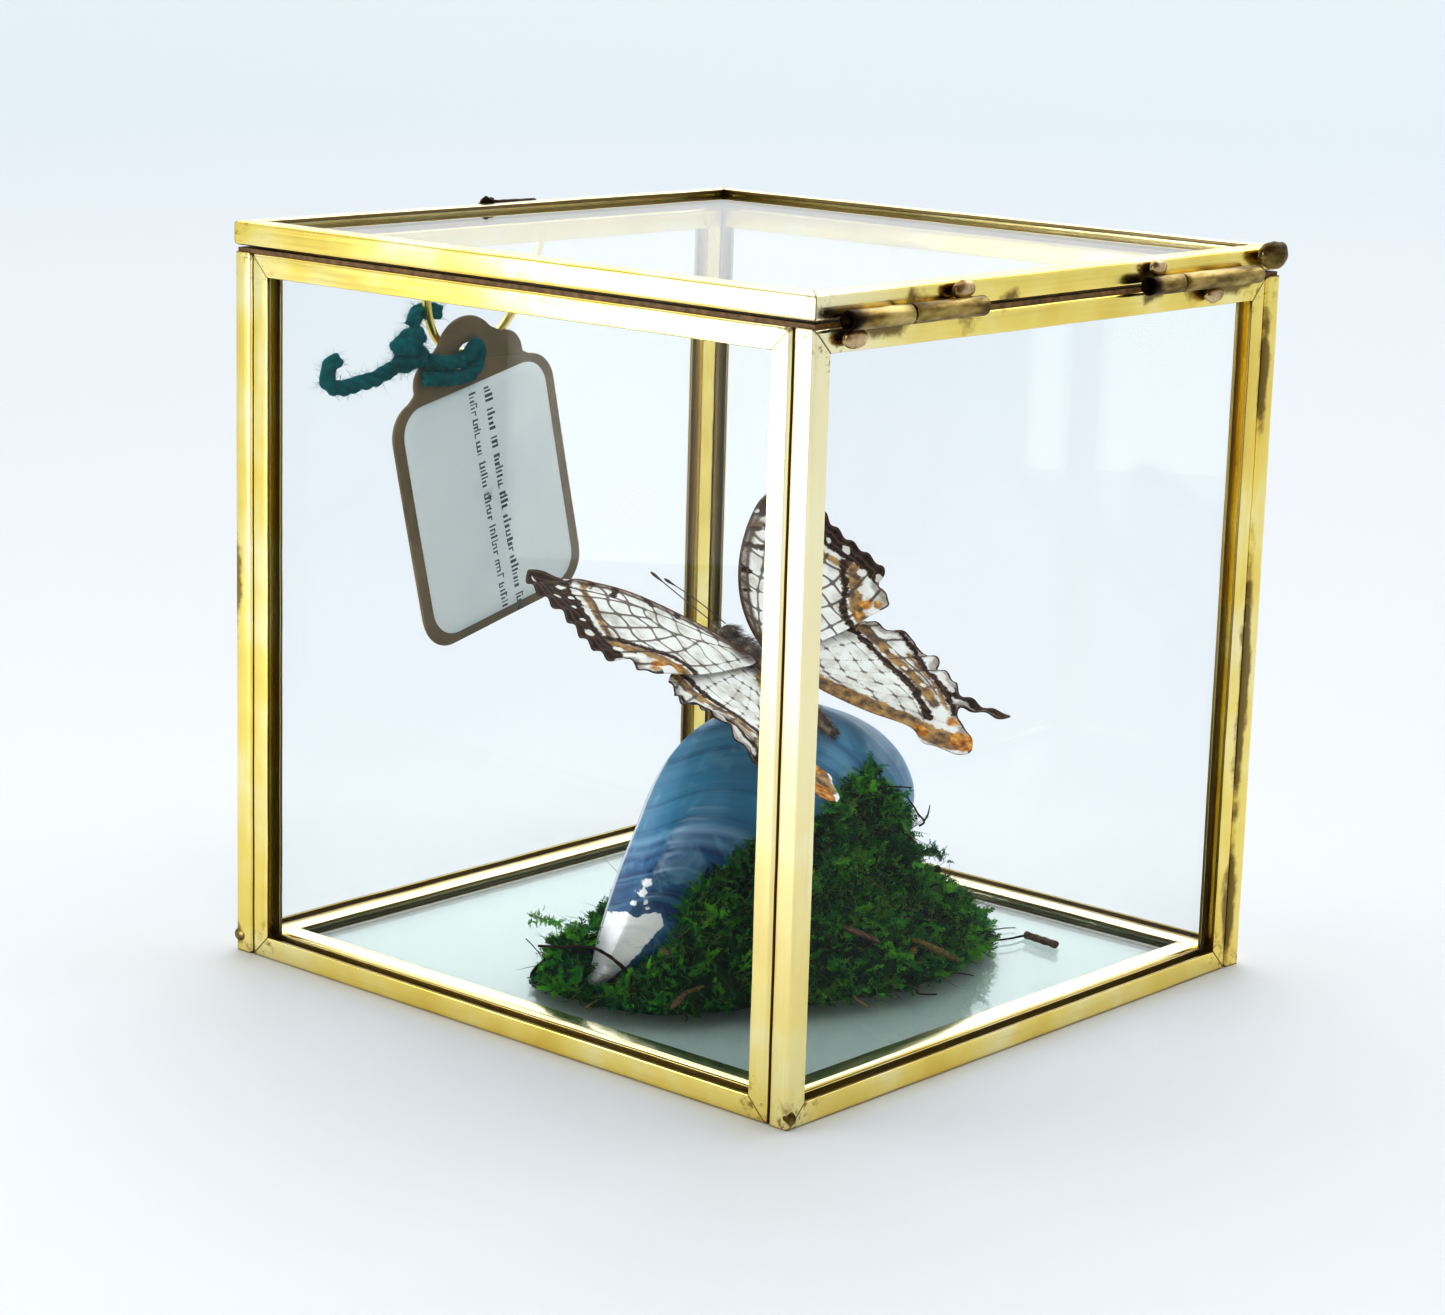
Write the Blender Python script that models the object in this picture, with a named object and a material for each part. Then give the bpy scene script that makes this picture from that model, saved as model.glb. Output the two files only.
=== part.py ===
"""A butterfly on a mussel shell and moss, in a hinged brass and glass display box.

Every size below is in millimetres, measured from the middle of the box's footprint on the
table. X runs from the tag side (-X) to the hinge side (+X), Y from the front pane (-Y) to the
back pane (+Y), and Z is up. Points are turned into metres as each mesh is made.
"""

from math import cos, pi, radians, sin, sqrt

import bmesh
import bpy
from mathutils import Vector, noise

MM = 0.001

# The box
BOX_WIDTH = 100.0
BOX_DEPTH = 96.6
BOX_HEIGHT = 100.0
BODY_HEIGHT = 96.0
CAME_THICK = 3.2
CAME_LEG = 3.0
CAME_WALL = 0.5
CAME_CHAMFER = 0.45
PANE_THICK = 1.6
JOIN_GAP = 0.3
MITRE_GAP = JOIN_GAP / sqrt(2)
# A frame's bars in turn, seen from outside for an upright pane and from above for a flat one
UPRIGHT_BAR_NAMES = ("bottom_bar", "right_post", "top_bar", "left_post")
FLAT_BAR_NAMES = ("front_bar", "hinge_side_bar", "back_bar", "tag_side_bar")

# The hinges stand on the right side, outside the seam between the lid and the box
HINGE_AXIS_X = 51.7
HINGE_AXIS_Z = 96.9
KNUCKLE_RADIUS = 1.4
KNUCKLE_BORE = 0.85
PIN_RADIUS = 0.5
PIN_INSET = 1.2
HINGE_ENDS = {
    "front": {"box": (-44.6, -33.3), "lid": (-33.0, -19.2)},
    "rear": {"lid": (15.0, 22.0), "box": (22.3, 40.0)},
}
# The solder that holds each knuckle: its middle
BOX_SOLDER_CENTRES = {"front": (51.3, -42.3, 94.5), "rear": (51.3, 31.0, 94.5)}
LID_SOLDER_CENTRES = {"front": (51.25, -22.4, 99.2), "rear": (51.25, 17.9, 99.2)}
BOX_SOLDER_RADII = (0.95, 2.0, 1.35)
LID_SOLDER_RADII = (0.9, 2.2, 1.45)

# The big lump of solder at the lid's back corner, and the catch on its free edge
LID_CORNER_CENTRE = (51.4, 44.3, 99.1)
LID_CORNER_RADII = (1.05, 3.9, 2.05)
CATCH_ENDS = ((-51.0, 0.2, 98.5), (-51.0, 8.6, 98.5))
CATCH_RADIUS = 0.55
CATCH_BEAD_CENTRE = (-51.25, -0.8, 98.5)
CATCH_BEAD_RADII = (0.95, 1.3, 1.2)

# The wire bail hangs open on the left side, and the tag is tied to it
WIRE_RADIUS = 0.65
BAIL_ROUTE = (
    (-51.0, -12.2, 95.6),
    (-51.7, -11.8, 91.0),
    (-52.7, -10.7, 86.0),
    (-53.5, -8.6, 81.8),
    (-53.8, -5.4, 79.2),
    (-53.8, -1.2, 78.5),
    (-53.8, 3.0, 79.9),
    (-53.4, 6.6, 83.2),
    (-52.7, 9.2, 87.5),
    (-51.7, 10.1, 91.6),
    (-51.0, 10.3, 95.6),
)

# The tag hangs on the plane of the left side, turned by its stiff yarn
TAG_TOP_CENTRE = (-2.3, 74.9)
TAG_TURN = radians(13.0)
TAG_WIDTH = 32.6
TAG_HEIGHT = 36.8
TAG_CORNER = 5.0
TAG_OUTER_X = -52.8
TAG_THICK = 0.6
LABEL_WIDTH = 28.8
LABEL_HEIGHT = 34.4
LABEL_CORNER = 4.2
LABEL_TOP = -0.9
LABEL_OUTER_X = -51.9
LABEL_THICK = 0.15
HOLE_UP = 3.1
HOLE_RADIUS = 2.3
# The tag's lobed head, right half: each arc's middle, radius and two angles in degrees
HEAD_LOBES = (
    ((7.4, 1.5), 3.4, -10, 90),
    ((0.0, 3.2), 6.0, 32, 90),
)

# The yarn
YARN_RADIUS = 1.15
KNOT_CENTRE = (-51.9, -14.7, 79.8)
KNOT_RADII = (2.2, 2.6, 3.6)
YARN_TAIL = (
    (-51.9, -17.6, 77.6),
    (-51.8, -21.7, 76.5),
    (-51.7, -25.4, 76.0),
    (-51.6, -28.8, 75.9),
    (-51.6, -30.4, 77.0),
    (-51.6, -29.8, 78.9),
    (-51.7, -28.4, 80.0),
)
YARN_TAG_LOOP = (
    (-50.9, -11.4, 80.3),
    (-50.8, -8.6, 79.6),
    (-50.7, -5.4, 79.6),
    (-50.7, -3.2, 79.0),
    (-50.7, -2.6, 77.7),
    (-50.7, -4.0, 76.4),
    (-50.7, -6.8, 75.9),
    (-50.8, -9.8, 76.0),
    (-50.9, -12.4, 75.9),
)
YARN_BAIL_LOOP = (
    (-53.5, -12.4, 83.3),
    (-54.4, -11.4, 84.2),
    (-55.0, -9.9, 84.7),
    (-55.0, -8.0, 84.8),
    (-54.4, -6.4, 84.6),
)

# The mussel valve: a is along it from the beak, b across it, h out of its hollow side
SHELL_ORIGIN = Vector((0.0, -31.3, 2.8))
SHELL_ALONG = Vector((0.266, 0.842, 0.470))
SHELL_ACROSS = Vector((-0.400, -0.347, 0.848))
SHELL_SCALE = 1.029
SHELL_CENTRE = (3.2, 0.9)
SHELL_THICK = 1.2
SHELL_BEAK_RISE = 2.6
SHELL_SWELL = 0.30
SHELL_OUTLINE = (
    (0.9, -0.8),
    (1.9, 1.0),
    (6.4, 4.7),
    (12.0, 9.0),
    (18.0, 13.0),
    (24.0, 16.8),
    (30.0, 18.8),
    (37.0, 18.3),
    (44.0, 15.2),
    (49.4, 10.0),
    (52.6, 4.8),
    (53.6, -0.6),
    (52.0, -5.6),
    (46.5, -9.2),
    (39.0, -10.8),
    (30.0, -10.4),
    (20.0, -8.2),
    (11.0, -4.9),
    (4.4, -2.2),
)
SHELL_RINGS = 10
SHELL_CLEARANCE = 0.4

# The moss
GLASS_TOP = (CAME_THICK + PANE_THICK) / 2
MOSS_BASE = GLASS_TOP + JOIN_GAP
MOSS_CENTRE = (7.0, -3.0)
MOSS_HALF_X = 21.5
MOSS_HALF_Y = 34.0
MOSS_TURN = radians(-14.0)
MOSS_RINGS = 15
MOSS_SECTORS = 44
MOSS_EDGE = 1.6
MOSS_LUMP = 1.5
MOSS_LUMP_SIZE = 5.5
# Each heap: its middle, its half-widths and its height above the glass
MOSS_HEAPS = (
    (17.5, 5.0, 8.5, 9.5, 27.0),
    (15.5, -5.0, 10.0, 13.0, 22.5),
    (12.0, -16.5, 10.0, 12.0, 17.0),
    (6.0, -26.0, 11.0, 9.0, 9.5),
    (20.0, 16.0, 10.0, 13.0, 8.0),
    (20.0, -7.0, 10.0, 17.0, 10.0),
    (0.0, 2.0, 12.0, 25.0, 9.0),
    (-6.0, -26.0, 9.0, 9.0, 5.5),
)

STICK_ENDS = ((27.7, 28.1, 3.6), (32.6, 28.0, 3.4))
STICK_RADIUS = 0.9

# The butterfly: its wings grow from this point, with its head towards the tag side
FLY_BASE = Vector((1.7, -0.4, 43.0))
FLY_PITCH = radians(28.4)
FLY_ROLL = radians(-4.7)
WING_THICK = 0.3
# Dihedral, twist about the span, and height of the root above the shoulder
WING_POSES = {
    "left_forewing": (radians(8.5), radians(-2.0), 0.3),
    "right_forewing": (radians(11.0), radians(3.5), 0.35),
    "left_hindwing": (radians(3.5), 0.0, -0.35),
    "right_hindwing": (radians(9.5), 0.0, -0.35),
}
# Wing outlines: outwards from the body, then towards the head
FOREWING_OUTLINE = (
    (1.75, 1.6),
    (3.0, 5.6),
    (5.2, 9.6),
    (8.4, 13.6),
    (12.4, 17.4),
    (17.0, 20.8),
    (21.2, 22.8),
    (23.6, 23.2),
    (25.2, 21.8),
    (26.0, 18.6),
    (25.9, 15.0),
    (25.4, 11.6),
    (26.2, 8.4),
    (26.6, 5.0),
    (25.6, 1.6),
    (23.6, -0.8),
    (20.0, -1.8),
    (14.0, -2.4),
    (7.0, -2.2),
    (1.75, -1.6),
)
HINDWING_OUTLINE = (
    (1.75, -1.4),
    (6.0, 0.4),
    (12.0, 0.6),
    (17.0, -0.6),
    (19.9, -2.4),
    (20.3, -5.0),
    (21.8, -7.6),
    (21.2, -10.4),
    (22.3, -13.4),
    (21.4, -16.4),
    (20.6, -19.2),
    (22.6, -22.2),
    (24.0, -25.4),
    (22.6, -25.4),
    (20.6, -23.0),
    (18.6, -21.4),
    (16.6, -23.0),
    (15.4, -26.4),
    (13.4, -28.4),
    (11.6, -27.6),
    (11.0, -24.6),
    (8.6, -20.4),
    (6.2, -14.6),
    (4.0, -8.6),
    (2.2, -4.4),
)
# The insect's body as (place along it, half-width); it hangs BODY_DROP under the wing roots
BODY_DROP = 1.0
BODY_RINGS = (
    (6.9, 0.5),
    (6.5, 1.1),
    (5.7, 1.5),
    (4.9, 1.4),
    (4.3, 0.9),
    (3.9, 1.1),
    (3.0, 1.7),
    (1.2, 2.0),
    (-1.0, 1.95),
    (-2.8, 1.6),
    (-3.8, 1.0),
    (-4.8, 1.2),
    (-6.5, 1.45),
    (-9.0, 1.45),
    (-11.5, 1.25),
    (-13.8, 0.95),
    (-15.4, 0.6),
    (-16.2, 0.3),
)
BODY_SIDES = 12
BODY_HEIGHT_RATIO = 1.05
LEG_RADIUS = 0.28
# Each leg's hip, knee and foot: out to the side, towards the head, and up
LEG_ROUTES = (
    ((1.0, 2.2, -2.4), (3.0, 2.6, -2.7), (4.3, 0.6, -5.4)),
    ((1.0, -0.6, -2.4), (2.8, -1.6, -2.4), (4.0, -3.0, -4.9)),
)
ANTENNA_RADIUS = 0.25
ANTENNA_CLUB_RADIUS = 0.5
ANTENNA_ROUTES = {
    "left_antenna": ((-4.6, -1.1, 46.2), (-9.2, -2.6, 49.2), (-14.2, -4.4, 52.7)),
    "right_antenna": ((-4.7, 0.6, 46.3), (-10.4, 1.0, 48.6), (-16.8, 1.3, 50.6)),
}

# Half of what the tag side sticks out by more than the hinge side
CENTRE_SHIFT = 1.55

COLOURS = {
    "brass": ((0.80, 0.62, 0.27), 0.28, 1.0),
    "tarnished_brass": ((0.42, 0.30, 0.12), 0.5, 1.0),
    "solder": ((0.50, 0.42, 0.36), 0.4, 1.0),
    "glass": ((0.90, 0.95, 0.94), 0.02, 0.0),
    "kraft_paper": ((0.30, 0.21, 0.15), 0.8, 0.0),
    "white_paper": ((0.82, 0.84, 0.86), 0.7, 0.0),
    "teal_yarn": ((0.01, 0.18, 0.20), 0.9, 0.0),
    "shell": ((0.10, 0.22, 0.36), 0.25, 0.0),
    "moss": ((0.05, 0.13, 0.02), 0.95, 0.0),
    "bark": ((0.16, 0.09, 0.05), 0.9, 0.0),
    "wing": ((0.80, 0.78, 0.72), 0.6, 0.0),
    "insect_body": ((0.07, 0.04, 0.03), 0.7, 0.0),
}


def clear_scene():
    """Remove what the start-up scene holds."""
    for thing in list(bpy.data.objects):
        bpy.data.objects.remove(thing, do_unlink=True)


def make_material(name):
    """A plain surface in one of the named colours."""
    colour, roughness, metallic = COLOURS[name]
    material = bpy.data.materials.get(name)
    if material is None:
        material = bpy.data.materials.new(name)
        material.use_nodes = True
        shader = material.node_tree.nodes["Principled BSDF"]
        shader.inputs["Base Color"].default_value = (*colour, 1.0)
        shader.inputs["Roughness"].default_value = roughness
        shader.inputs["Metallic"].default_value = metallic
        if name == "glass":
            shader.inputs["Transmission Weight"].default_value = 1.0
            shader.inputs["IOR"].default_value = 1.5
    return material


def make_object(name, points, faces, material, parent, origin=(0, 0, 0), smooth=False):
    """A closed mesh from millimetre points, placed by its location under its parent."""
    origin = Vector(origin)
    mesh = bpy.data.meshes.new(name)
    mesh.from_pydata([(Vector(point) - origin) * MM for point in points], [], faces)
    shell = bmesh.new()
    shell.from_mesh(mesh)
    bmesh.ops.recalc_face_normals(shell, faces=shell.faces)
    shell.to_mesh(mesh)
    shell.free()
    if smooth:
        mesh.shade_smooth()
        mesh.set_sharp_from_angle(angle=radians(40))
    thing = bpy.data.objects.new(name, mesh)
    thing.data.materials.append(make_material(material))
    bpy.context.scene.collection.objects.link(thing)
    thing.parent = parent
    thing.location = (origin - parent_place(parent)) * MM
    return thing


def parent_place(parent):
    """Where a parent empty stands, in the millimetres of this script."""
    if parent.parent is None:
        return Vector((0, 0, 0))
    return parent.location / MM


def make_empty(name, place, parent=None):
    """A guide that carries other objects and isn't a piece itself."""
    empty = bpy.data.objects.new(name, None)
    bpy.context.scene.collection.objects.link(empty)
    empty.parent = parent
    empty.location = Vector(place) * MM
    return empty


def join_rings(rings):
    """Points and faces of a closed skin through equal rings of points."""
    count = len(rings[0])
    points = [point for ring in rings for point in ring]
    faces = [tuple(range(count)), tuple(range(len(points) - count, len(points)))]
    for level in range(len(rings) - 1):
        for place in range(count):
            here = level * count + place
            after = level * count + (place + 1) % count
            faces.append((here, after, after + count, here + count))
    return points, faces


def mix_smoothly(before, start, end, after, step):
    """A point of the Catmull-Rom curve between start and end."""
    rise = end - before
    bow = before * 2 - start * 5 + end * 4 - after
    twist = start * 3 - before - end * 3 + after
    return (start * 2 + rise * step + bow * step**2 + twist * step**3) / 2


def smooth_route(route, steps, closed=False):
    """More points along a smooth curve through a route's own points."""
    route = [Vector(point) for point in route]
    count = len(route)
    spans = count if closed else count - 1
    curve = []
    for span in range(spans):
        if closed:
            corners = [route[(span + offset) % count] for offset in (-1, 0, 1, 2)]
        else:
            corners = [route[min(max(span + offset, 0), count - 1)] for offset in (-1, 0, 1, 2)]
        curve += [mix_smoothly(*corners, step / steps) for step in range(steps)]
    if not closed:
        curve.append(route[-1])
    return curve


def tube_rings(route, radii, sides):
    """Rings of points round a route, turned as little as possible from one to the next."""
    rings = []
    side = None
    for place, centre in enumerate(route):
        ahead = route[min(place + 1, len(route) - 1)]
        behind = route[max(place - 1, 0)]
        along = (ahead - behind).normalized()
        if side is None:
            side = along.orthogonal().normalized()
        side = (side - along * side.dot(along)).normalized()
        other = along.cross(side)
        radius = radii[place]
        ring = []
        for turn in range(sides):
            angle = 2 * pi * turn / sides
            ring.append(centre + (side * cos(angle) + other * sin(angle)) * radius)
        rings.append(ring)
    return rings


def make_tube(name, route, radius, material, parent, steps=3, sides=8):
    """A round solid along a smooth curve through the route's points."""
    curve = smooth_route(route, steps)
    points, faces = join_rings(tube_rings(curve, [radius] * len(curve), sides))
    return make_object(name, points, faces, material, parent, smooth=True)


def make_ball(name, centre, radii, material, parent, rings=6, sides=10):
    """An egg-shaped solid."""
    centre = Vector(centre)
    levels = []
    for level in range(1, rings):
        angle = pi * level / rings
        ring = []
        for turn in range(sides):
            around = 2 * pi * turn / sides
            offset = Vector((sin(angle) * cos(around), sin(angle) * sin(around), cos(angle)))
            ring.append(centre + Vector([reach * part for reach, part in zip(radii, offset)]))
        levels.append(ring)
    points, faces = join_rings(levels)
    top, bottom = len(points), len(points) + 1
    points += [centre + Vector((0, 0, radii[2])), centre - Vector((0, 0, radii[2]))]
    faces = faces[2:]
    last = top - sides
    for turn in range(sides):
        after = (turn + 1) % sides
        faces.append((top, turn, after))
        faces.append((bottom, last + turn, last + after))
    return make_object(name, points, faces, material, parent, smooth=True)


def join_into(base, extra, operation="UNION"):
    """Join a helper solid to a piece, or cut it away, and hide the helper."""
    extra.hide_render = True
    extra.display_type = "WIRE"
    step = base.modifiers.new(extra.name, "BOOLEAN")
    step.operation = operation
    step.solver = "EXACT"
    step.object = extra


# The glass box


def came_profile():
    """The U of a came bar: inwards from its outer edge, and across the pane."""
    half = CAME_THICK / 2
    slot = half - CAME_WALL
    side = [
        (CAME_CHAMFER, half),
        (CAME_LEG, half),
        (CAME_LEG, slot),
        (CAME_WALL + 0.1, slot),
    ]
    mirrored = [(inward, -across) for inward, across in reversed(side)]
    return [(0.0, half - CAME_CHAMFER)] + side + mirrored + [(0.0, CAME_CHAMFER - half)]


def make_bar(name, corner, along, inward, across, length, parent):
    """A came bar with mitred ends, from one corner of its frame to the next."""
    start, end = [], []
    for depth, side in came_profile():
        place = corner + inward * depth + across * side
        start.append(place + along * (depth + MITRE_GAP))
        end.append(place + along * (length - depth - MITRE_GAP))
    points, faces = join_rings([start, end])
    return make_object(name, points, faces, "brass", parent, origin=corner)


def make_frame(prefix, centre, right, up, width, height, parent):
    """A pane of glass in four came bars."""
    across = right.cross(up)
    bar_names = FLAT_BAR_NAMES if abs(up.z) < 0.5 else UPRIGHT_BAR_NAMES
    walls = (
        (-right * width / 2 - up * height / 2, right, up, width),
        (right * width / 2 - up * height / 2, up, -right, height),
        (right * width / 2 + up * height / 2, -right, -up, width),
        (-right * width / 2 + up * height / 2, -up, right, height),
    )
    for name, (corner, along, inward, length) in zip(bar_names, walls):
        make_bar(f"{prefix}_{name}", centre + corner, along, inward, across, length, parent)
    margin = CAME_WALL + 0.1 + JOIN_GAP
    half_right = right * (width / 2 - margin)
    half_up = up * (height / 2 - margin)
    rings = []
    for side in (-PANE_THICK / 2, PANE_THICK / 2):
        middle = centre + across * side
        rings.append(
            [
                middle - half_right - half_up,
                middle + half_right - half_up,
                middle + half_right + half_up,
                middle - half_right + half_up,
            ]
        )
    points, faces = join_rings(rings)
    make_object(f"{prefix}_pane", points, faces, "glass", parent, origin=centre)


def make_box(box):
    """The five fixed panes, each in its own came frame."""
    side_x = (BOX_WIDTH - CAME_THICK) / 2
    front_y = (CAME_THICK - BOX_DEPTH) / 2
    middle_z = BODY_HEIGHT / 2
    inset = CAME_THICK + JOIN_GAP
    inner_width = BOX_WIDTH - 2 * inset
    side_depth = BOX_DEPTH - inset
    side_y = -inset / 2
    x_axis, y_axis, z_axis = Vector((1, 0, 0)), Vector((0, 1, 0)), Vector((0, 0, 1))
    upright_frames = (
        ("front", (0, front_y, middle_z), x_axis, inner_width),
        ("hinge_side", (side_x, side_y, middle_z), y_axis, side_depth),
        ("back", (0, -front_y, middle_z), -x_axis, BOX_WIDTH),
        ("tag_side", (-side_x, side_y, middle_z), -y_axis, side_depth),
    )
    for prefix, centre, right, width in upright_frames:
        make_frame(prefix, Vector(centre), right, z_axis, width, BODY_HEIGHT, box)
    base_centre = Vector((0, 0, CAME_THICK / 2))
    make_frame("base", base_centre, x_axis, y_axis, inner_width, BOX_DEPTH - 2 * inset, box)


def make_lid(lid):
    """The lid's pane and came frame."""
    centre = Vector((0, 0, BOX_HEIGHT - CAME_THICK / 2))
    make_frame("lid", centre, Vector((1, 0, 0)), Vector((0, 1, 0)), BOX_WIDTH, BOX_DEPTH, lid)


# The hinges and other soldered pieces


def make_knuckle(name, start, end, parent):
    """A piece of hinge tube with its bore, along the joint's axis."""
    sides = 16
    section = (
        (KNUCKLE_RADIUS, start),
        (KNUCKLE_RADIUS, end),
        (KNUCKLE_BORE, end),
        (KNUCKLE_BORE, start),
    )
    points = []
    for radius, place in section:
        for turn in range(sides):
            angle = 2 * pi * turn / sides
            out, up = radius * cos(angle), radius * sin(angle)
            points.append(Vector((HINGE_AXIS_X + out, place, HINGE_AXIS_Z + up)))
    faces = []
    for level in range(len(section)):
        first = level * sides
        second = (level + 1) % len(section) * sides
        for turn in range(sides):
            after = (turn + 1) % sides
            faces.append((first + turn, first + after, second + after, second + turn))
    middle = (HINGE_AXIS_X, (start + end) / 2, HINGE_AXIS_Z)
    return make_object(name, points, faces, "tarnished_brass", parent, middle, smooth=True)


def make_hinges(box, lid):
    """Two hinges: a knuckle soldered to the box, one to the lid, and a wire pin through both."""
    sides = (
        ("box", box, BOX_SOLDER_CENTRES, BOX_SOLDER_RADII),
        ("lid", lid, LID_SOLDER_CENTRES, LID_SOLDER_RADII),
    )
    for which, ends in HINGE_ENDS.items():
        for side, parent, centres, radii in sides:
            knuckle = make_knuckle(f"{which}_hinge_{side}_knuckle", *ends[side], parent)
            solder_name = f"{which}_hinge_{side}_solder"
            join_into(knuckle, make_ball(solder_name, centres[which], radii, "solder", parent))
        first = min(ends["box"][0], ends["lid"][0]) + PIN_INSET
        last = max(ends["box"][1], ends["lid"][1]) - PIN_INSET
        route = [(HINGE_AXIS_X, first, HINGE_AXIS_Z), (HINGE_AXIS_X, last, HINGE_AXIS_Z)]
        make_tube(f"{which}_hinge_pin", route, PIN_RADIUS, "tarnished_brass", box, steps=1)


def make_soldered_pieces(box, lid):
    """The catch on the lid's free edge, the bail under it and the lump at the lid's corner."""
    make_tube("bail", BAIL_ROUTE, WIRE_RADIUS, "brass", box)
    catch = make_tube("lid_catch", CATCH_ENDS, CATCH_RADIUS, "tarnished_brass", lid, steps=1)
    join_into(catch, make_ball("catch_bead", CATCH_BEAD_CENTRE, CATCH_BEAD_RADII, "solder", lid))
    make_ball("lid_corner_solder", LID_CORNER_CENTRE, LID_CORNER_RADII, "solder", lid)


# The tag and its yarn


def arc(centre, radius, first, last, steps):
    """Points along an arc between two angles in degrees."""
    angles = [radians(first + (last - first) * step / steps) for step in range(steps + 1)]
    return [(centre[0] + radius * cos(angle), centre[1] + radius * sin(angle)) for angle in angles]


def mirror_outline(half):
    """A whole outline from its right half, which runs from the bottom to the top."""
    left = [(-across, up) for across, up in reversed(half) if across > 0.001]
    return half + left


def rounded_outline(width, top, height, corner):
    """A rectangle with rounded corners, its top edge at the given height."""
    reach = width / 2 - corner
    half = arc((reach, top - height + corner), corner, -90, 0, 4)
    half += arc((reach, top - corner), corner, 0, 90, 4)
    return mirror_outline(half)


def tag_outline():
    """The tag's rounded body with its lobed head."""
    reach = TAG_WIDTH / 2 - TAG_CORNER
    half = arc((reach, TAG_CORNER - TAG_HEIGHT), TAG_CORNER, -90, 0, 4)
    half += arc((reach, -TAG_CORNER), TAG_CORNER, 0, 80, 4)
    for centre, radius, first, last in HEAD_LOBES:
        half += arc(centre, radius, first, last, 4)
    return mirror_outline(half)


def place_on_tag(point, x):
    """A point given across and up the tag, in the plane of the box's tag side."""
    across, up = point
    y = TAG_TOP_CENTRE[0] + across * cos(TAG_TURN) - up * sin(TAG_TURN)
    z = TAG_TOP_CENTRE[1] + across * sin(TAG_TURN) + up * cos(TAG_TURN)
    return Vector((x, y, z))


def make_plate(name, outline, x, thick, material, parent):
    """A flat sheet that follows an outline on the tag."""
    rings = [[place_on_tag(point, x + rise) for point in outline] for rise in (0, thick)]
    points, faces = join_rings(rings)
    return make_object(name, points, faces, material, parent)


def make_tag(box):
    """The kraft tag with its hole, and the plain paper on it."""
    tag = make_plate("tag", tag_outline(), TAG_OUTER_X, TAG_THICK, "kraft_paper", box)
    hole = make_plate(
        "tag_hole",
        arc((0.0, HOLE_UP), HOLE_RADIUS, 0, 337.5, 15),
        TAG_OUTER_X - 1,
        TAG_THICK + 2,
        "kraft_paper",
        box,
    )
    join_into(tag, hole, "DIFFERENCE")
    label = rounded_outline(LABEL_WIDTH, LABEL_TOP, LABEL_HEIGHT, LABEL_CORNER)
    make_plate("tag_label", label, LABEL_OUTER_X, LABEL_THICK, "white_paper", box)


def make_yarn(box):
    """The knot and the strands that tie the tag to the bail."""
    make_ball("yarn_knot", KNOT_CENTRE, KNOT_RADII, "teal_yarn", box)
    make_tube("yarn_tail", YARN_TAIL, YARN_RADIUS, "teal_yarn", box, steps=2)
    make_tube("yarn_tag_loop", YARN_TAG_LOOP, YARN_RADIUS, "teal_yarn", box, steps=2)
    make_tube("yarn_bail_loop", YARN_BAIL_LOOP, YARN_RADIUS, "teal_yarn", box, steps=2)


# The mussel valve


def shell_outline():
    """The valve's smooth rim."""
    rim = [Vector((along, across, 0)) for along, across in SHELL_OUTLINE]
    return smooth_route(rim, 2, closed=True)


def shell_place(along, across, height):
    """A point of the valve in the box."""
    hollow_side = SHELL_ALONG.cross(SHELL_ACROSS)
    offset = SHELL_ALONG * along + SHELL_ACROSS * across + hollow_side * height
    return SHELL_ORIGIN + offset * SHELL_SCALE


def shell_height(growth, reach):
    """How far the valve swells from the plane of its rim, at one stage of its growth."""
    beak = SHELL_BEAK_RISE * (1 - growth**2)
    swell = SHELL_SWELL * reach * growth**0.8 * (1 - growth**2.6) ** 0.78
    return beak + swell


def shell_rings(rise, spread, flat=None):
    """Rings of the valve's skin from its beak to its rim."""
    centre = Vector((*SHELL_CENTRE, 0))
    rings = []
    for level in range(1, SHELL_RINGS + 1):
        growth = (level / SHELL_RINGS) ** 0.8
        ring = []
        for rim in shell_outline():
            spoke = rim - centre
            reach = spoke.length
            place = centre + spoke * growth * (1 + spread / reach)
            height = shell_height(growth, reach) + rise if flat is None else flat
            ring.append(shell_place(place.x, place.y, height))
        rings.append(ring)
    return rings


def close_shell(outer, inner, outer_beak, inner_beak):
    """Points and faces of a dish: its outer rings, then its inner rings back to the middle."""
    rings = outer + list(reversed(inner))
    points, faces = join_rings(rings)
    count = len(rings[0])
    last = len(points) - count
    faces = faces[2:]
    points += [outer_beak, inner_beak]
    for place in range(count):
        after = (place + 1) % count
        faces.append((len(points) - 2, place, after))
        faces.append((len(points) - 1, last + place, last + after))
    return points, faces


def make_shell(box):
    """One mussel valve, standing with its beak low in the moss."""
    outer = shell_rings(0.0, 0.0)
    inner = shell_rings(-SHELL_THICK, -SHELL_THICK * 0.6)
    beak = [shell_place(*SHELL_CENTRE, shell_height(0, 0) + rise) for rise in (0, -SHELL_THICK)]
    points, faces = close_shell(outer, inner, *beak)
    return make_object("mussel_shell", points, faces, "shell", box, smooth=True)


def make_shell_cutter(box):
    """The room that the valve takes in the moss."""
    outer = shell_rings(SHELL_CLEARANCE, SHELL_CLEARANCE)
    back = -SHELL_THICK - SHELL_CLEARANCE
    inner = shell_rings(0.0, SHELL_CLEARANCE, flat=back)
    beak = [
        shell_place(*SHELL_CENTRE, shell_height(0, 0) + SHELL_CLEARANCE),
        shell_place(*SHELL_CENTRE, back),
    ]
    points, faces = close_shell(outer, inner, *beak)
    return make_object("shell_room", points, faces, "shell", box)


# The moss


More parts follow.
